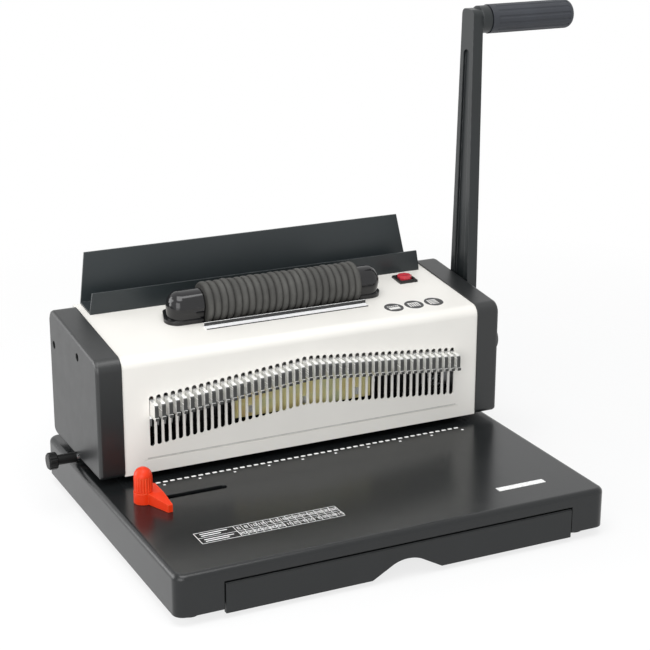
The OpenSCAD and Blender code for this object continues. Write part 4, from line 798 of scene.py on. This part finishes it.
class BINDER_OT_cover_print(bpy.types.Operator):
    """Print on the cover: three round signs on its top; and a thin grey line under its slots, painted shade
    of a faint groove
    """
    bl_idname = "binder.cover_print"
    bl_label = "Cover print"

    def execute(self, context):
        ink = context.scene.binder_print.ink_height
        dark = ink_finish("Cover ink", (0.035, 0.035, 0.036), 0.5, drift=0.2, scale=300)
        light = ink_finish("Sign ink", (0.80, 0.79, 0.76), 0.5, drift=0.1, scale=300)
        groove_line_shade = ink_finish("Painted groove shade", (0.58, 0.57, 0.54), 0.5, drift=0.1, scale=200)
        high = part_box("front_cover")[1]
        rise = (high.z - SLOPE_FOOT_Z * MM) / (high.y - FACE_Y)
        slope = math.atan(rise)
        lean = np.array([
            [1, 0, 0], [0, math.cos(slope), -math.sin(slope)], [0, math.sin(slope), math.cos(slope)]])
        places = [spot(x, SIGNS_Y, SLOPE_FOOT_Z + SIGNS_Y * rise) for x in SIGNS_X]
        top = np.array([0.0, *places[0][1:]])

        centres = [(at[0], 0.0) for at in places]
        points, faces = slabs(rounded(centres, DISC_RADIUS, DISC_RADIUS, 2.0, DISC_SIDES), -ink, ink)
        points = points @ lean.T + top
        mesh_piece("cover_discs", points, faces, dark, "frame", smooth=False)

        signs = [rectangles(bars) + centre for bars, centre in zip(sign_bars(), centres)]
        points, faces = slabs(np.concatenate(signs), 0.0, 2 * ink)
        points = points @ lean.T + top
        mesh_piece("cover_signs", points, faces, light, "frame", smooth=False)

        # A thin grey line under the slots: painted shade of a faint groove
        points, faces = slabs(rectangles([(ROW_X, LINE_Z * MM, *LINE_HALF)]), -ink, ink)
        points = np.column_stack([points[:, 0], FACE_Y - points[:, 2], points[:, 1]])
        mesh_piece("cover_line", points, faces, groove_line_shade, "frame", smooth=False)
        return {"FINISHED"}


def seen_directly(tree):
    """1 for rays from the camera, off a glossy surface or through a clear one, else 0."""
    path = tree.nodes.new("ShaderNodeLightPath").outputs
    mirrored = calculate(tree, "MAXIMUM", path["Is Glossy Ray"], path["Is Transmission Ray"])
    return calculate(tree, "MAXIMUM", path["Is Camera Ray"], mirrored)


def turned_to(across, upright, back, here):
    """Matrix that turns an object's axes to three directions and carries it to a place."""
    turned = np.eye(4)
    turned[:3] = np.column_stack([across, upright, back, here])
    return Matrix(turned.tolist())


class BINDER_OT_stage(bpy.types.Operator):
    """Camera at the photograph's angle, pale floor and soft studio light"""
    bl_idname = "binder.stage"
    bl_label = "Stage"

    def execute(self, context):
        scene, view = context.scene, context.scene.binder_stage
        scene.view_settings.view_transform = "Standard"
        self.camera(scene, view)
        self.floor(scene, view)
        self.world(scene, view)
        self.lamps(scene)
        return {"FINISHED"}

    @staticmethod
    def camera(scene, view):
        """Camera whose axes come from its turn, tilt and roll."""
        level = np.array([-math.sin(view.turn), math.cos(view.turn), 0.0])
        ahead = level * math.cos(view.tilt) - np.array([0.0, 0.0, math.sin(view.tilt)])
        side = np.array([math.cos(view.turn), math.sin(view.turn), 0.0])
        up = np.cross(side, ahead)
        c, s = math.cos(view.roll), math.sin(view.roll)
        data = bpy.data.cameras.new("Camera")
        data.lens = view.lens
        data.sensor_width = SENSOR
        data.sensor_fit = "HORIZONTAL"
        data.clip_end = 50.0
        camera = bpy.data.objects.new("Camera", data)
        camera.matrix_world = turned_to(side * c + up * s, up * c - side * s, -ahead, spot(*CAMERA_AT))
        scene.collection.objects.link(camera)
        scene.camera = camera

    @staticmethod
    def floor(scene, view):
        """Round floor whose paint fades out to the white background away from the machine."""
        k = np.arange(FLOOR_SIDES)
        around = k * 2 * np.pi / FLOOR_SIDES
        rings = FLOOR_RADII[:, None, None] * np.column_stack([np.cos(around), np.sin(around)])
        points = np.concatenate([[[0.0, 0.0]], rings.reshape(-1, 2)])
        points = np.column_stack([points, np.full(len(points), FLOOR_Z)])
        fans = np.column_stack([np.zeros(FLOOR_SIDES, int), k + 1, (k + 1) % FLOOR_SIDES + 1])
        quads = ring_faces(len(FLOOR_RADII), FLOOR_SIDES)[:, ::-1] + 1
        mesh = bpy.data.meshes.new("floor")
        mesh.from_pydata(points.tolist(), [], fans.tolist() + quads.tolist())
        floor = bpy.data.objects.new("floor", mesh)
        scene.collection.objects.link(floor)

        material, tree, shader, where = start_finish("Pale floor", specular=0.0)
        shader.inputs["Base Color"].default_value = opaque(view.floor)
        shader.inputs["Roughness"].default_value = 0.9
        glow = place(tree, "ShaderNodeEmission", {"Color": WHITE, "Strength": 1.0})
        share = calculate(tree, "MULTIPLY", seen_directly(tree), view.floor_white)
        paint = place(tree, "ShaderNodeMixShader", {0: share, 1: shader.outputs[0], 2: glow.outputs[0]})
        far = place(tree, "ShaderNodeVectorMath", {0: where}, operation="LENGTH")
        fade = spread(tree, far.outputs["Value"], FADE_START, FADE_END)
        clear = tree.nodes.new("ShaderNodeBsdfTransparent")
        blend = place(tree, "ShaderNodeMixShader", {0: fade, 1: paint.outputs[0], 2: clear.outputs[0]})
        out = next(n for n in tree.nodes if n.type == "OUTPUT_MATERIAL")
        tree.links.new(blend.outputs[0], out.inputs["Surface"])
        mesh.materials.append(material)

    @staticmethod
    def world(scene, view):
        """Even daylight for the surfaces, and a white background for the camera and for reflections."""
        world = bpy.data.worlds.new("Studio")
        scene.world = world
        world.use_nodes = True
        tree = world.node_tree
        tree.nodes.clear()
        out = tree.nodes.new("ShaderNodeOutputWorld")
        light = place(tree, "ShaderNodeBackground", {"Color": SKY, "Strength": view.daylight})
        white = place(tree, "ShaderNodeBackground", {"Color": WHITE, "Strength": 1.0})
        blend = place(tree, "ShaderNodeMixShader", {
            0: seen_directly(tree), 1: light.outputs[0], 2: white.outputs[0]})
        tree.links.new(blend.outputs[0], out.inputs["Surface"])

    @staticmethod
    def lamps(scene):
        """Large soft boxes: one overhead, one from the left front and one low behind the left end."""
        for name, place_mm, aim_mm, size, power in LAMPS:
            data = bpy.data.lights.new(name, "AREA")
            data.shape = "SQUARE"
            data.size = size
            data.energy = power
            lamp = bpy.data.objects.new(name, data)
            here, aim = spot(*place_mm), spot(*aim_mm)
            back = (here - aim) / np.linalg.norm(here - aim)
            side = np.cross((0.0, 0.0, 1.0), back)
            side /= np.linalg.norm(side)
            lamp.matrix_world = turned_to(side, np.cross(back, side), back, here)
            scene.collection.objects.link(lamp)


STEPS = (
    BINDER_OT_stage, BINDER_OT_shells, BINDER_OT_punch, BINDER_OT_lever, BINDER_OT_inserter,
    BINDER_OT_controls, BINDER_OT_table_print, BINDER_OT_cover_print)
SETTINGS = {
    "binder_finishes": BinderFinishes, "binder_print": BinderPrint, "binder_sleeve": BinderSleeve,
    "binder_springs": BinderSprings, "binder_stage": BinderStage}


class BINDER_PT_sidebar(bpy.types.Panel):
    """Steps and settings of the binding machine's looks"""
    bl_idname = "BINDER_PT_sidebar"
    bl_label = "Binding machine"
    bl_space_type = "VIEW_3D"
    bl_region_type = "UI"
    bl_category = "Binding machine"

    def draw(self, context):
        for step in STEPS:
            self.layout.operator(step.bl_idname)
        for name, cls in SETTINGS.items():
            for key in cls.__annotations__:
                self.layout.prop(getattr(context.scene, name), key)


CLASSES = (*SETTINGS.values(), *STEPS, BINDER_PT_sidebar)


def register():
    for cls in CLASSES:
        bpy.utils.register_class(cls)
    for name, cls in SETTINGS.items():
        setattr(bpy.types.Scene, name, bpy.props.PointerProperty(type=cls))


def unregister():
    for name in SETTINGS:
        delattr(bpy.types.Scene, name)
    for cls in reversed(CLASSES):
        bpy.utils.unregister_class(cls)


def main():
    register()
    for step in STEPS:
        category, name = step.bl_idname.split(".")
        getattr(getattr(bpy.ops, category), name)()


if __name__ == "__main__":
    main()
